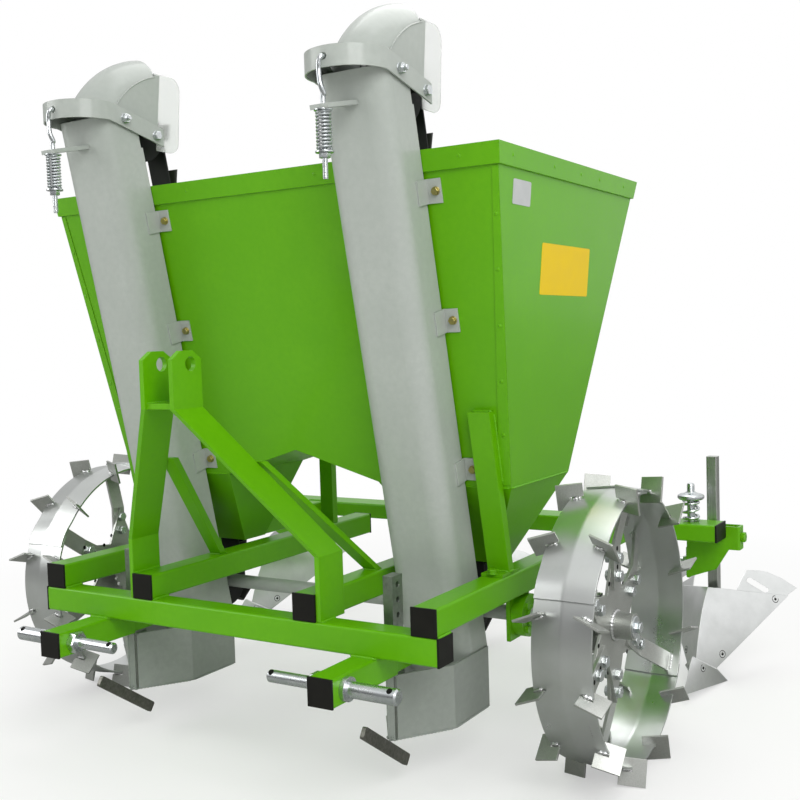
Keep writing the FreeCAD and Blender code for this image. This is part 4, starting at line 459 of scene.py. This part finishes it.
def blank_plate(y_span, z_span, thick):
    """A thin plate with rounded corners lying on the right side wall: its outline is four
    quarter circles joined by straight sides."""
    radius, quarter = 4, np.linspace(0, np.pi / 2, 5)
    centres = [(y_span[1] - radius, z_span[1] - radius), (y_span[0] + radius, z_span[1] - radius),
               (y_span[0] + radius, z_span[0] + radius), (y_span[1] - radius, z_span[0] + radius)]
    y = np.concatenate([cy + radius * np.cos(quarter + n * np.pi / 2)
                        for n, (cy, cz) in enumerate(centres)])
    z = np.concatenate([cz + radius * np.sin(quarter + n * np.pi / 2)
                        for n, (cy, cz) in enumerate(centres)])
    return skin(np.stack([np.stack([wall_x(z) + level, y, z], axis=-1) for level in (-0.4, thick)]))


def printed_foil(name, colour, pale, roughness, metallic=0.0):
    """Self-adhesive foil: an even colour with a slightly lighter, scuffed bloom."""
    material, tree, shader = new_material(name)
    place = node(tree, "ShaderNodeTexCoord").outputs["Object"]
    bloom = node(tree, "ShaderNodeTexNoise", {"Vector": place, "Scale": 1 / 0.04, "Detail": 4.0})
    mix = node(tree, "ShaderNodeMix", {"Factor": bloom.outputs["Fac"], "A": linear(colour),
                                       "B": linear(pale)}, data_type="RGBA")
    tree.links.new(mix.outputs["Result"], shader.inputs["Base Color"])
    rough = node(tree, "ShaderNodeMapRange", {"Value": bloom.outputs["Fac"],
                                              "To Min": roughness - 0.05, "To Max": roughness + 0.1})
    tree.links.new(rough.outputs[0], shader.inputs["Roughness"])
    shader.inputs["Metallic"].default_value = metallic
    shader.inputs["IOR"].default_value = 1.33
    return material


yellow_foil = printed_foil("plain yellow vinyl foil", "#DEBB00", "#E6C400", 0.45)
silver_foil = printed_foil("brushed aluminium plate", "#B9BCBC", "#D2D4D4", 0.38, 0.6)
piece("blank_yellow_plate", [blank_plate((344, 580), (908, 1005), 0.5)], yellow_foil, "frame",
      sharp=30)
piece("blank_silver_plate", [blank_plate((205, 279), (1065, 1109), 0.8)], silver_foil, "frame",
      sharp=30)

yellow_zinc = steel("yellow passivated zinc", "#C9B65A", "#A8A070", 0.32, 5, bump=0.05)
bolts = []
for sign in (-1, 1):
    bolts += bolt((sign * 450, 262, 386), (0, 0, 1), 17, 11)
piece("post_plate_bolts", bolts, green_coat, "frame", sharp=25)


# ---- Seed tubes ---------------------------------------------------------------------------------
# Folded sheet channels, powder coated in silver grey, hung on the hopper by bent tabs that are each
# held by one yellow-passivated bolt.

grey_coat = powder_coat("silver-grey powder coat", "#A2A8A2", "#BFC4BE", 0.34, 0.3)
dress(sides_of("seed_tube", "tube_head"), grey_coat)
dress(["tube_clips", "tension_brackets", "cross_shaft"], grey_coat)

ROWS = (-325, 325)


def on_tube(row, across, ahead, along):
    """A place in a row's leaning frame: across from its middle, square off the front wall, and
    along the wall from the hopper's rim."""
    return (row + across, WALL_TOP_Y + ahead * math.cos(TILT) - along * math.sin(TILT),
            RIM_Z + ahead * math.sin(TILT) + along * math.cos(TILT))


bolts = []
for row in ROWS:
    for side in (-1, 1):
        for along in (-73, -308, -596):
            bolts += bolt(on_tube(row, side * 90, -3, along), front_out, 13, 8)
piece("tube_clip_bolts", bolts, yellow_zinc, "frame", sharp=25)


# ---- Heads --------------------------------------------------------------------------------------
# Half-pipe bends welded between side plates on a bent band, whose cheeks carry two bolts each.
# The weld round the pipe shows as a thin broken line.

def through(points, count):
    """A smooth run through given points: between each two, the Catmull-Rom cubic."""
    points = np.asarray(points, dtype=float)
    points = np.concatenate([2 * points[:1] - points[1:2], points, 2 * points[-1:] - points[-2:-1]])
    place = np.linspace(0, len(points) - 3, count)
    start = np.minimum(place.astype(int), len(points) - 4)
    t = (place - start)[:, None]
    a, b, c, d = (points[start + step] for step in range(4))
    return 0.5 * (2 * b + (c - a) * t + (2 * a - 5 * b + 4 * c - d) * t ** 2
                  + (3 * b - a - 3 * c + d) * t ** 3)


HEAD_HUB, SEAM_RADIUS, SEAM_STEPS, PLATE_X, CHEEK_X = (218, 1199), 204, 60, 59.6, 77
FRONT_BOLT, REAR_BOLT = (58, 1292), (146, 1270)
seams, head_bolts = [], []
for row in ROWS:
    for side in (-1, 1):
        turn = np.radians(np.linspace(32, 75.4, SEAM_STEPS))
        arc = np.stack([np.full(SEAM_STEPS, row + side * PLATE_X),
                        HEAD_HUB[0] - SEAM_RADIUS * np.cos(turn),
                        HEAD_HUB[1] + SEAM_RADIUS * np.sin(turn)], axis=-1)
        ripple = 1.7 + 0.5 * np.sin(np.arange(SEAM_STEPS) * 2.1)
        seams.append(swept(arc, ripple, (side, 0, 0), 6))
        head_bolts += bolt((row + side * CHEEK_X, *FRONT_BOLT), (side, 0, 0), 17, 10)
        head_bolts.append(turned([(4.9, 0), (4.9, 15), (4.2, 16)],
                                 (row + side * CHEEK_X, *FRONT_BOLT), (side, 0, 0), 16))
        head_bolts += bolt((row + side * CHEEK_X, *REAR_BOLT), (side, 0, 0), 17, 10)
piece("head_seams", seams, grey_coat, "frame", sharp=180)
piece("head_bolts", head_bolts, zinc, "frame", sharp=25)


def clear_sheet(name):
    """Frosted polycarbonate: it lets light through and scatters it a little where it is scuffed."""
    material, tree, shader = new_material(name)
    place = node(tree, "ShaderNodeTexCoord").outputs["Object"]
    scuff = node(tree, "ShaderNodeTexNoise", {"Vector": place, "Scale": 1 / 0.02, "Detail": 4.0})
    rough = node(tree, "ShaderNodeMapRange", {"Value": scuff.outputs["Fac"], "To Min": 0.12,
                                              "To Max": 0.3})
    tree.links.new(rough.outputs[0], shader.inputs["Roughness"])
    shader.inputs["Base Color"].default_value = linear("#F6F8F6")
    shader.inputs["Transmission Weight"].default_value = 0.75
    shader.inputs["IOR"].default_value = 1.58
    return material


dress(["head_guards"], clear_sheet("frosted polycarbonate sheet"))


# ---- Hold-down rods -----------------------------------------------------------------------------
# A bent round bar hooked through the band's hole, drawn down by a coil spring between the tube's
# plate and a nut. Both are zinc plated; the spring has eleven turns of 4.4 mm wire.

def coil(centre, bottom, top, outer, wire, turns):
    """A compression spring: a wire circle carried along a helix whose first and last turns lie
    flat against each other, with the free turns evenly between them."""
    count = int(turns * 16)
    place = np.linspace(0, turns, count)
    flat = np.interp(place, [0, 1, turns - 1, turns], [0, wire * 1.05, 0, 0])
    rise = np.interp(place, [0, 1, turns - 1, turns],
                     [0, wire * 1.05, top - bottom - wire * 2.05, top - bottom - wire])
    angle = 2 * np.pi * place
    radius = (outer - wire) / 2
    path = np.stack([centre[0] + radius * np.cos(angle), centre[1] + radius * np.sin(angle),
                     bottom + wire / 2 + rise], axis=-1)
    return swept(path, wire / 2, (0, 0, 1), 8)


def limits_of(name):
    """A CAD node's lowest and highest corners at rest, in the millimetres of placed."""
    return [(np.array(corner) - DATUM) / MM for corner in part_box(name)]


low, high = limits_of("tension_springs")
ROD_Y, SPRING_TOP = (low[1] + high[1]) / 2, high[2]
BAND_FRONT, HOOK_Z, SPRING_LENGTH, WIRE = -57, 1302, 66, 4.4
spring_foot = SPRING_TOP - SPRING_LENGTH
rods, springs = [], []
for row in ROWS:
    hook = [(row, BAND_FRONT + 14, HOOK_Z - 1), (row, BAND_FRONT + 4, HOOK_Z),
            (row - 1, BAND_FRONT - 6, HOOK_Z - 2), (row - 4, BAND_FRONT - 8, HOOK_Z - 12),
            (row - 5, BAND_FRONT - 7, HOOK_Z - 26), (row - 1, ROD_Y - 5, HOOK_Z - 46),
            (row + 2, ROD_Y, HOOK_Z - 62), (row, ROD_Y, SPRING_TOP + 24),
            (row, ROD_Y, SPRING_TOP), (row, ROD_Y, spring_foot), (row, ROD_Y, spring_foot - 46)]
    rods.append(swept(through(hook, 120), 4.5, (1, 0, 0), 12))
    springs.append(coil((row, ROD_Y), spring_foot, SPRING_TOP, 28, WIRE, 11))
    springs.append(turned([(16, 0), (16, 2.6), (15.4, 3)], (row, ROD_Y, spring_foot - 3), (0, 0, 1)))
    springs.append(turned([(15.4, 0), (16, 0.4), (16, 2.4), (15, 2.8)],
                          (row, ROD_Y, SPRING_TOP - 0.6), (0, 0, 1)))
    springs.append(hexagon(17, 8.5, (row, ROD_Y, spring_foot - 11.5), (0, 0, 1)))
    threads = np.arange(0, 30, 1.25)
    profile = np.stack([4.35 + 0.45 * (np.arange(len(threads)) % 2), threads], axis=-1)
    springs.append(turned(profile, (row, ROD_Y, spring_foot - 44), (0, 0, 1), 16))
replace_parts(piece("hold_down_rods", rods, zinc, "frame"), "tension_rods")
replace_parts(piece("hold_down_springs", springs, zinc, "frame", sharp=35),
            "tension_springs")


# ---- Cup belts ----------------------------------------------------------------------------------
# Woven rubber belting with moulded plastic cups riveted through it, over steel drums that are
# covered in the same rubber.

belt_rubber = moulded("black belt rubber", "#1B1B1C", "#2A2A2B", 0.65, 1.0)
dress(["cup_belts", "belt_pulleys"], belt_rubber)


# ---- Openers ------------------------------------------------------------------------------------
# Each boot is bent from 5 mm plate and welded to a square-edged depth bar, which is drilled for
# its setting pin. A knife is welded under the nose.

# Painted shade: the boots and their welds carry the tubes' grey paint, darkened for the shade they
# stand in under the frame.
boot_coat_painted_shade = powder_coat("silver-grey coat darkened as painted shade", "#8B918B", "#ABB0AA", 0.42, 0.15)
dress(sides_of("opener_boot"), boot_coat_painted_shade)
dress(["opener_knives"], steel("worn knife steel", "#96958E", "#6F6E68", 0.45, 6, bump=0.1))
dress(["depth_bars"], steel("galvanised flat bar", "#A9AEA8", "#8E938C", 0.42, 9, bump=0.08))
beads, holes = [], []
BAR_FRONT = 88
for row in ROWS:
    for side in (-1, 1):
        beads.append(bead((row + side * 4, 84, 105), (row + side * 74, 187, 105), 1.8, 7))
        beads.append(bead((row + side * 76.4, 192, 105), (row + side * 76.4, 326, 105), 1.6, 7))
        beads.append(bead((row + side * 11, BAR_FRONT, 223), (row + side * 11, BAR_FRONT + 34, 223),
                          2.4))
        beads.append(bead((row + side * 5, 78, 112), (row + side * 5, 92, 102), 2.6))
    beads.append(bead((row, 76.4, 110), (row, 76.4, 222), 1.6, 9))
piece("opener_welds", beads, boot_coat_painted_shade, "frame", sharp=180)
dress(["depth_clamps", "shaft_bearings", "ridger_holders"], green_coat)
low, high = limits_of("depth_clamps")
bolts = []
for row in ROWS:
    bolts += bolt((row, high[1], (low[2] + high[2]) / 2), (0, 1, 0), 17, 10)
piece("depth_clamp_screws", bolts, zinc, "frame", sharp=25)


# ---- Bearings -----------------------------------------------------------------------------------
# Cast flange housings under the outer beams, held by four bolts each and painted with the frame.

low, high = limits_of("right_wheel_hub")
AXLE = (low[1:] + high[1:]) / 2
HOUSING_X, BOLT_CIRCLE = 474, 33
bolts = []
for sign in (-1, 1):
    for turn in (0.785, 2.356, 3.927, 5.498):
        place = (sign * HOUSING_X, AXLE[0] + BOLT_CIRCLE * math.cos(turn),
                 AXLE[1] + BOLT_CIRCLE * math.sin(turn))
        bolts += bolt(place, (sign, 0, 0), 13, 8)
    bolts.append(turned([(22, -1), (22, 3), (20, 4.5), (16.4, 4.6)], (sign * HOUSING_X, *AXLE),
                        (sign, 0, 0)))
piece("bearing_bolts", bolts, green_coat, "frame", sharp=25)


# ---- Wheels -------------------------------------------------------------------------------------
# Rims rolled from three cold-rolled strips, creased along the middle; each strip's end laps over the
# next. Square lugs are slotted over the edges and welded; flat spokes are bolted to a star plate.

rolled_steel = steel("cold-rolled steel plate", "#D6D9D8", "#CBCECB", 0.32, 60.0, bump=0.0,
                     cloud_mm=200)
cut_steel = steel("laser-cut steel plate", "#C6C8C4", "#AAACA7", 0.45, 2.0, bump=0.08, cloud_mm=90)
weld_steel = steel("bare weld metal", "#E6E7E8", "#B4B5B3", 0.28, 2.5, bump=0.2)
dress(sides_of("wheel_lugs", "wheel_hub", "wheel_spokes"), cut_steel)

MIDDLE, RIM_RADIUS, RIM_HALF = 645, 258, 55
SEAMS = (22.4, 93.1, 210.3)
SPOKE_SIDE, SPOKES, LUG_STATIONS = 9.2, 6, 12
SPOKE_STEP, LUG_STEP = 360 / SPOKES, 360 / LUG_STATIONS
SPOKE_BOLTS, SPOKE_HOLES = (94, 128), (111, 146)
HUB_BEAD, RING_STEPS, SHAFT_END = 26.5, 90, 41


def spun(points, degrees, sign):
    """Points given at the top of a wheel (x from its middle, y back, z from the axle), turned
    about the axle, front over top, and moved to the left or right wheel."""
    points = np.asarray(points, dtype=float)
    turn = math.radians(degrees)
    y = points[..., 1] * math.cos(turn) + points[..., 2] * math.sin(turn)
    z = -points[..., 1] * math.sin(turn) + points[..., 2] * math.cos(turn)
    return np.stack([sign * (MIDDLE + points[..., 0]), AXLE[0] + y, AXLE[1] + z], axis=-1)


def rim_strip(start, end, sign):
    """One rolled strip: a shallow roof section carried round the axle. Its first 6 degrees stand
    4.4 mm out, over the end of the strip before it; over the next 9 the lift falls to nothing by
    3 t squared less 2 t cubed, t being the share of those 9 degrees."""
    around = np.linspace(start, end + 6, int((end - start) / 2.2))
    fall = np.clip((around - start - 6) / 9, 0, 1)
    lift = 4.4 * (1 - fall ** 2 * (3 - 2 * fall))
    across = np.array([-RIM_HALF, -RIM_HALF / 2, -4, 0, 4, RIM_HALF / 2, RIM_HALF])
    roof = -5.5 * np.abs(across) / RIM_HALF
    outer = np.stack([across, roof], axis=-1)
    inner = outer[::-1] - [0, 3.8]
    section = np.concatenate([outer, inner])
    turn = np.radians(around)
    radius = RIM_RADIUS + section[None, :, 1] + lift[:, None]
    grid = np.stack([np.broadcast_to(sign * (MIDDLE + section[None, :, 0]), radius.shape),
                     AXLE[0] - radius * np.cos(turn)[:, None],
                     AXLE[1] + radius * np.sin(turn)[:, None]], axis=-1)
    return skin(grid)


def toothed_ring(sign):
    """Ratchet teeth: a disc's edge goes round in three steps a tooth, 58, 57 and 51 mm out."""
    teeth = 22
    turn = np.linspace(0, 2 * np.pi, teeth * 3, endpoint=False)
    radius = np.tile([58.0, 57.0, 51.0], teeth)
    rows = []
    for x in (-37.5, -30.5):
        rows.append(np.stack([np.full(len(turn), sign * (MIDDLE + x)),
                              AXLE[0] + radius * np.cos(turn),
                              AXLE[1] + radius * np.sin(turn)], axis=-1))
    return skin(np.stack(rows))


for sign, side_name in ((-1, "left"), (1, "right")):
    body = side_name + "_wheel"
    ends = [(SEAMS[0], SEAMS[1]), (SEAMS[1], SEAMS[2]), (SEAMS[2], SEAMS[0] + 360)]
    strips = [rim_strip(start, end, sign) for start, end in ends]
    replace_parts(piece(body + "_rim_strips", strips, rolled_steel, body, sharp=25),
                body + "_rim")

    welds = []
    skew = math.radians(22)
    for station in range(LUG_STATIONS):
        for side in (-1, 1):
            inward = np.array([-side * math.cos(skew), math.sin(skew), 0.0])
            beside = np.array([side * math.sin(skew), math.cos(skew), 0.0])
            for face in (-1, 1):
                start = np.array([side * RIM_HALF, 0, RIM_RADIUS - 4.6]) + face * 3.4 * beside
                run = [start + inward * 3, start + inward * 21 + np.array([0, 0, 2.0])]
                run = spun(run, -(station + 0.5) * LUG_STEP, sign)
                welds.append(bead(run[0], run[1], 3.4, 6))
    for step in range(SPOKES):
        side = 1 if step % 2 == 0 else -1
        for x in (30.5, 38.5):
            run = spun([(side * x, -17, 251.5), (side * x, 17, 251.5)], -SPOKE_STEP * step, sign)
            welds.append(bead(run[0], run[1], 2.8, 6))
    turn = np.linspace(0, 2 * np.pi, RING_STEPS)
    for x in (4.5, -4.5):
        ring = np.stack([np.full(RING_STEPS, sign * (MIDDLE + x)), AXLE[0] + HUB_BEAD * np.cos(turn),
                         AXLE[1] + HUB_BEAD * np.sin(turn)], axis=-1)
        welds.append(swept(ring, 3.6 + 0.6 * np.sin(turn * 26), (1, 0, 0), 8))
    piece(body + "_welds", welds, weld_steel, body, sharp=180)

    bolts, holes = [], []
    for step in range(SPOKES):
        side = 1 if step % 2 == 0 else -1
        for radius in SPOKE_BOLTS:
            place = spun((side * SPOKE_SIDE, 0, radius), -SPOKE_STEP * step, sign)
            bolts += bolt(place, (sign * side, 0, 0), 19, 11)
            place = spun((-side * 3, 0, radius), -SPOKE_STEP * step, sign)
            bolts.append(hexagon(19, 10, place, (-sign * side, 0, 0)))
        for radius in SPOKE_HOLES:
            place = spun((side * SPOKE_SIDE, 0, radius), -SPOKE_STEP * step, sign)
            holes.append(turned([(4.6, -0.5), (4.6, 0.12), (4.2, 0.14)], place,
                                (sign * side, 0, 0), 16))
        for offset in (-28, 28):
            place = spun((side * 3, offset, 84), -SPOKE_STEP * step, sign)
            holes.append(turned([(4.2, -0.5), (4.2, 0.12), (3.9, 0.14)], place,
                                (sign * side, 0, 0), 16))
    end_of_shaft = spun((SHAFT_END, 0, 0), 0, sign)
    bolts.append(turned([(21, -1), (21, 2.2), (20, 3)], end_of_shaft, (sign, 0, 0)))
    bolts.append(hexagon(19, 10, end_of_shaft + np.array([sign * 2.8, 0, 0]), (sign, 0, 0)))
    piece(body + "_bolts", bolts, zinc, body, sharp=25)
    piece(body + "_holes", holes, shadow_steel, body)
    piece(body + "_ratchet_teeth", [toothed_ring(sign)], cut_steel, body, sharp=20)


# ---- Ridgers ------------------------------------------------------------------------------------
# Ground plough-steel boards on square shanks, held by countersunk plough bolts. The shank clamps
# are painted; the trip springs, their studs and the pivot bolts are zinc plated.

ground_steel = steel("ground plough steel", "#E8EAE9", "#D6D8D7", 0.34, 50.0, bump=0.0,
                     cloud_mm=120)
shank_steel = steel("drawn square bar", "#D0D3CE", "#AEB1AC", 0.30, 3, (1, 1, 0.05), bump=0.05)
dress(["ridger_shanks"], shank_steel)
dress(["ridger_mouldboards", "ridger_wings", "ridger_shares"], ground_steel)
RIDGERS = (-650, 0, 650)


def surface_of(name):
    """A CAD node's mesh as a search tree, in metres."""
    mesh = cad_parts[name].data
    corners = [corner.co.copy() for corner in mesh.vertices]
    return BVHTree.FromPolygons(corners, [tuple(face.vertices) for face in mesh.polygons])


boards, shares = surface_of("ridger_mouldboards"), surface_of("ridger_shares")
BOLT_PLACES = ((boards, 126.7, 183), (boards, 42.4, 81.1), (shares, 17, 63.8))
plough_bolts, sockets, shadow_rings = [], [], []
for middle in RIDGERS:
    for side in (-1, 1):
        for surface, x, z in BOLT_PLACES:
            start = Vector(placed((middle + side * x, 500, z)).tolist())
            place, normal, _, _ = surface.ray_cast(start, Vector((0, 1, 0)))
            if place is None:
                continue
            out = np.array(normal) if normal.y < 0 else -np.array(normal)
            base = (np.array(place) - DATUM) / MM
            # Painted shadow: a dark ring just outside each plough bolt's head; the dark square on
            # the head is painted shade for its socket.
            shadow_rings.append(turned([(8.8, -0.4), (8.8, 0.12), (7.4, 0.16)], base, out, 24))
            plough_bolts.append(turned([(7.4, -0.4), (7.4, 0.3), (7.0, 0.6), (6.2, 0.5)], base, out,
                                       24))
            sockets.append(turned([(4.0, 0), (4.0, 0.7), (3.6, 0.76)], base, out, 4))
piece("plough_bolts", plough_bolts, ground_steel, "frame", sharp=30)
piece("plough_bolt_sockets_and_shadow_rings", sockets + shadow_rings, shadow_steel, "frame")

low, high = limits_of("trip_rods")
TRIP_Y, TRIP_TOP = (low[1] + high[1]) / 2, high[2]
low, high = limits_of("trip_springs")
TRIP_ASIDE, FLANGE_ASIDE, PIVOT, SET_SCREW = 37, 54, (1036, 273), (1036, 340)
studs, springs, pivots, nuts = [], [], [], []
for middle in RIDGERS:
    mirror = -1 if middle < 0 else 1
    x = middle - mirror * TRIP_ASIDE
    springs.append(coil((x, TRIP_Y), low[2] - 0.3, high[2] + 1.6, 41, 7.0, 3.6))
    z = high[2]
    dome = [(18, z), (27, z + 1), (30.4, z + 4), (31, z + 7.5), (30, z + 11), (26, z + 13.6),
            (19, z + 14.6), (16, z + 16.4), (12.5, z + 17.4), (11.5, z + 19)]
    thread_z = np.arange(z + 19.4, TRIP_TOP - 4, 1.25)
    thread = np.stack([8.4 + 0.6 * (np.arange(len(thread_z)) % 2), thread_z], axis=-1)
    tip = [(8.2, TRIP_TOP - 3), (7.4, TRIP_TOP - 1), (5.5, TRIP_TOP)]
    studs.append(turned(dome + thread.tolist() + tip, (x, TRIP_Y, 0), (0, 0, 1), 32))
    studs.append(turned([(9, 0), (9, z - low[2] + 1)], (x, TRIP_Y, low[2] - 0.1), (0, 0, 1), 20))
    flange_x = middle - mirror * FLANGE_ASIDE
    pivots.append(turned([(7, 0), (8, 1), (8, 66), (7.6, 67)], (flange_x - mirror * 56, *PIVOT),
                         (mirror, 0, 0)))
    pivots.append(hexagon(24, 10, (flange_x + mirror * 8, *PIVOT), (mirror, 0, 0)))
    pivots.append(turned([(15, 0), (15, 3)], (flange_x + mirror * 4.6, *PIVOT), (mirror, 0, 0)))
    pivots.append(hexagon(24, 13, (flange_x - mirror * 6.2, *PIVOT), (-mirror, 0, 0)))
    nuts.append(hexagon(19, 8, (middle + mirror * 61, *SET_SCREW), (mirror, 0, 0)))
    nuts.append(hexagon(22, 9, (middle + mirror * 66.4, *SET_SCREW), (mirror, 0, 0)))
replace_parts(piece("trip_studs", studs, zinc, "frame", sharp=30), "trip_rods")
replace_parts(piece("trip_coils", springs, zinc, "frame"), "trip_springs")
piece("ridger_pivot_bolts", pivots, zinc, "frame", sharp=25)
piece("ridger_clamp_nuts", nuts, green_coat, "frame", sharp=25)

HOLDER_SIDE = 60
beads = []
for middle in RIDGERS:
    mirror = -1 if middle < 0 else 1
    x = middle - mirror * HOLDER_SIDE
    beads.append(bead((x, 1019, 236), (x, 1019, 311), 2.6))
    beads.append(bead((x + mirror * 9, 1024, 312), (x + mirror * 95, 1024, 312), 2.2))
    beads.append(bead((x, 1018, 340), (x, 1018, 378), 2.6))
piece("ridger_holder_welds", beads, green_coat, "frame", sharp=180)


# ---- Floor, light and camera --------------------------------------------------------------------
# A pale studio: a floor that runs off into white, a wide soft lamp over the front right, weaker
# ones on the left and overhead. Gloss and metal see a surround that is bright up and to the right
# and back, and falls off to dark on the other side.

floor_mesh = bpy.data.meshes.new("studio floor")
reach = 14.0
floor_mesh.from_pydata([(-reach, -reach, 0), (reach, -reach, 0), (reach, reach, 0),
                        (-reach, reach, 0)], [], [(0, 1, 2, 3)])
floor = bpy.data.objects.new("studio_floor", floor_mesh)
bpy.context.scene.collection.objects.link(floor)
floor_paint = bpy.data.materials.new("studio floor paint")
floor_paint.use_nodes = True
tree = floor_paint.node_tree
tree.nodes.clear()
seen = node(tree, "ShaderNodeLightPath")
# Painted reflection: glossy rays see the floor in a darker grey than its own colour.
tint = node(tree, "ShaderNodeMix", {"Factor": seen.outputs["Is Glossy Ray"], "A": linear("#F2F2F0"),
                                    "B": linear("#A5A6A3")}, data_type="RGBA")
matt = node(tree, "ShaderNodeBsdfDiffuse", {"Color": tint.outputs["Result"]})
ray = node(tree, "ShaderNodeMath", {0: seen.outputs["Is Camera Ray"],
                                    1: seen.outputs["Is Transmission Ray"]}, operation="MAXIMUM")
spread = node(tree, "ShaderNodeVectorMath",
              {0: node(tree, "ShaderNodeTexCoord").outputs["Object"]}, operation="LENGTH")
fade = node(tree, "ShaderNodeMapRange", {"Value": spread.outputs["Value"], "From Min": 0.6,
                                         "From Max": 2.4, "To Min": 0.45, "To Max": 1.0})
share = node(tree, "ShaderNodeMath", {0: fade.outputs[0], 1: ray.outputs[0]}, operation="MULTIPLY")
white = node(tree, "ShaderNodeEmission", {"Color": (1, 1, 1, 1), "Strength": 1.0})
blend = node(tree, "ShaderNodeMixShader", {0: share.outputs[0], 1: matt.outputs[0],
                                           2: white.outputs[0]})
node(tree, "ShaderNodeOutputMaterial", {"Surface": blend.outputs[0]})
floor_mesh.materials.append(floor_paint)

scene = bpy.context.scene
scene.view_settings.view_transform = "Standard"
world = bpy.data.worlds.new("studio surround")
world.use_nodes = True
tree = world.node_tree
tree.nodes.clear()
seen = node(tree, "ShaderNodeLightPath")
ray = node(tree, "ShaderNodeMath", {0: seen.outputs["Is Camera Ray"],
                                    1: seen.outputs["Is Transmission Ray"]}, operation="MAXIMUM")
aim = node(tree, "ShaderNodeVectorMath", {0: node(tree, "ShaderNodeTexCoord").outputs["Generated"],
                                          1: (0.62, 0.42, 0.66)}, operation="DOT_PRODUCT")
walls = node(tree, "ShaderNodeMapRange", {"Value": aim.outputs["Value"], "From Min": -0.75,
                                          "From Max": 0.6, "To Min": 0.10, "To Max": 1.0},
             interpolation_type="SMOOTHSTEP")
room = node(tree, "ShaderNodeMix", {"Factor": seen.outputs["Is Glossy Ray"], "A": 0.55,
                                    "B": walls.outputs[0]})
strength = node(tree, "ShaderNodeMix", {"Factor": ray.outputs[0], "A": room.outputs[0], "B": 1.0})
surround = node(tree, "ShaderNodeBackground", {"Color": (1, 1, 1, 1),
                                               "Strength": strength.outputs[0]})
node(tree, "ShaderNodeOutputWorld", {"Surface": surround.outputs[0]})
scene.world = world


def soft_lamp(name, place, target, width, height, watts):
    """A rectangular softbox at place that faces target."""
    lamp = bpy.data.lights.new(name, "AREA")
    lamp.shape = "RECTANGLE"
    lamp.size = width
    lamp.size_y = height
    lamp.energy = watts
    thing = bpy.data.objects.new(name, lamp)
    scene.collection.objects.link(thing)
    aim = Vector(target) - Vector(place)
    thing.location = place
    thing.rotation_euler = aim.to_track_quat("-Z", "Y").to_euler()


soft_lamp("key softbox", (2.6, -2.4, 2.9), (0, 0, 0.6), 2.2, 2.2, 90)
soft_lamp("fill softbox", (-2.8, -2.2, 2.0), (0, 0, 0.6), 2.0, 2.0, 45)
soft_lamp("top softbox", (0.2, 0.8, 3.4), (0, 0, 0.6), 2.4, 2.4, 40)

# The camera stands off the front right corner, looks along yaw and pitch, and is tipped by roll.
yaw, pitch, roll = (math.radians(value) for value in (31.64, -3.3, -1.76))
forward = np.array([-math.sin(yaw) * math.cos(pitch), math.cos(yaw) * math.cos(pitch),
                    math.sin(pitch)])
level = np.array([math.cos(yaw), math.sin(yaw), 0.0])
upward = np.cross(level, forward)
right = level * math.cos(roll) + upward * math.sin(roll)
upward = upward * math.cos(roll) - level * math.sin(roll)
camera_data = bpy.data.cameras.new("camera")
camera_data.lens = 49.0
camera_data.sensor_width = 36.0
camera = bpy.data.objects.new("camera", camera_data)
scene.collection.objects.link(camera)
stand = np.eye(4)
stand[:3, 0], stand[:3, 1], stand[:3, 2] = right, upward, -forward
stand[:3, 3] = placed((1374.2, -1551.8, 835.9))
camera.matrix_world = Matrix(stand.tolist())
scene.camera = camera
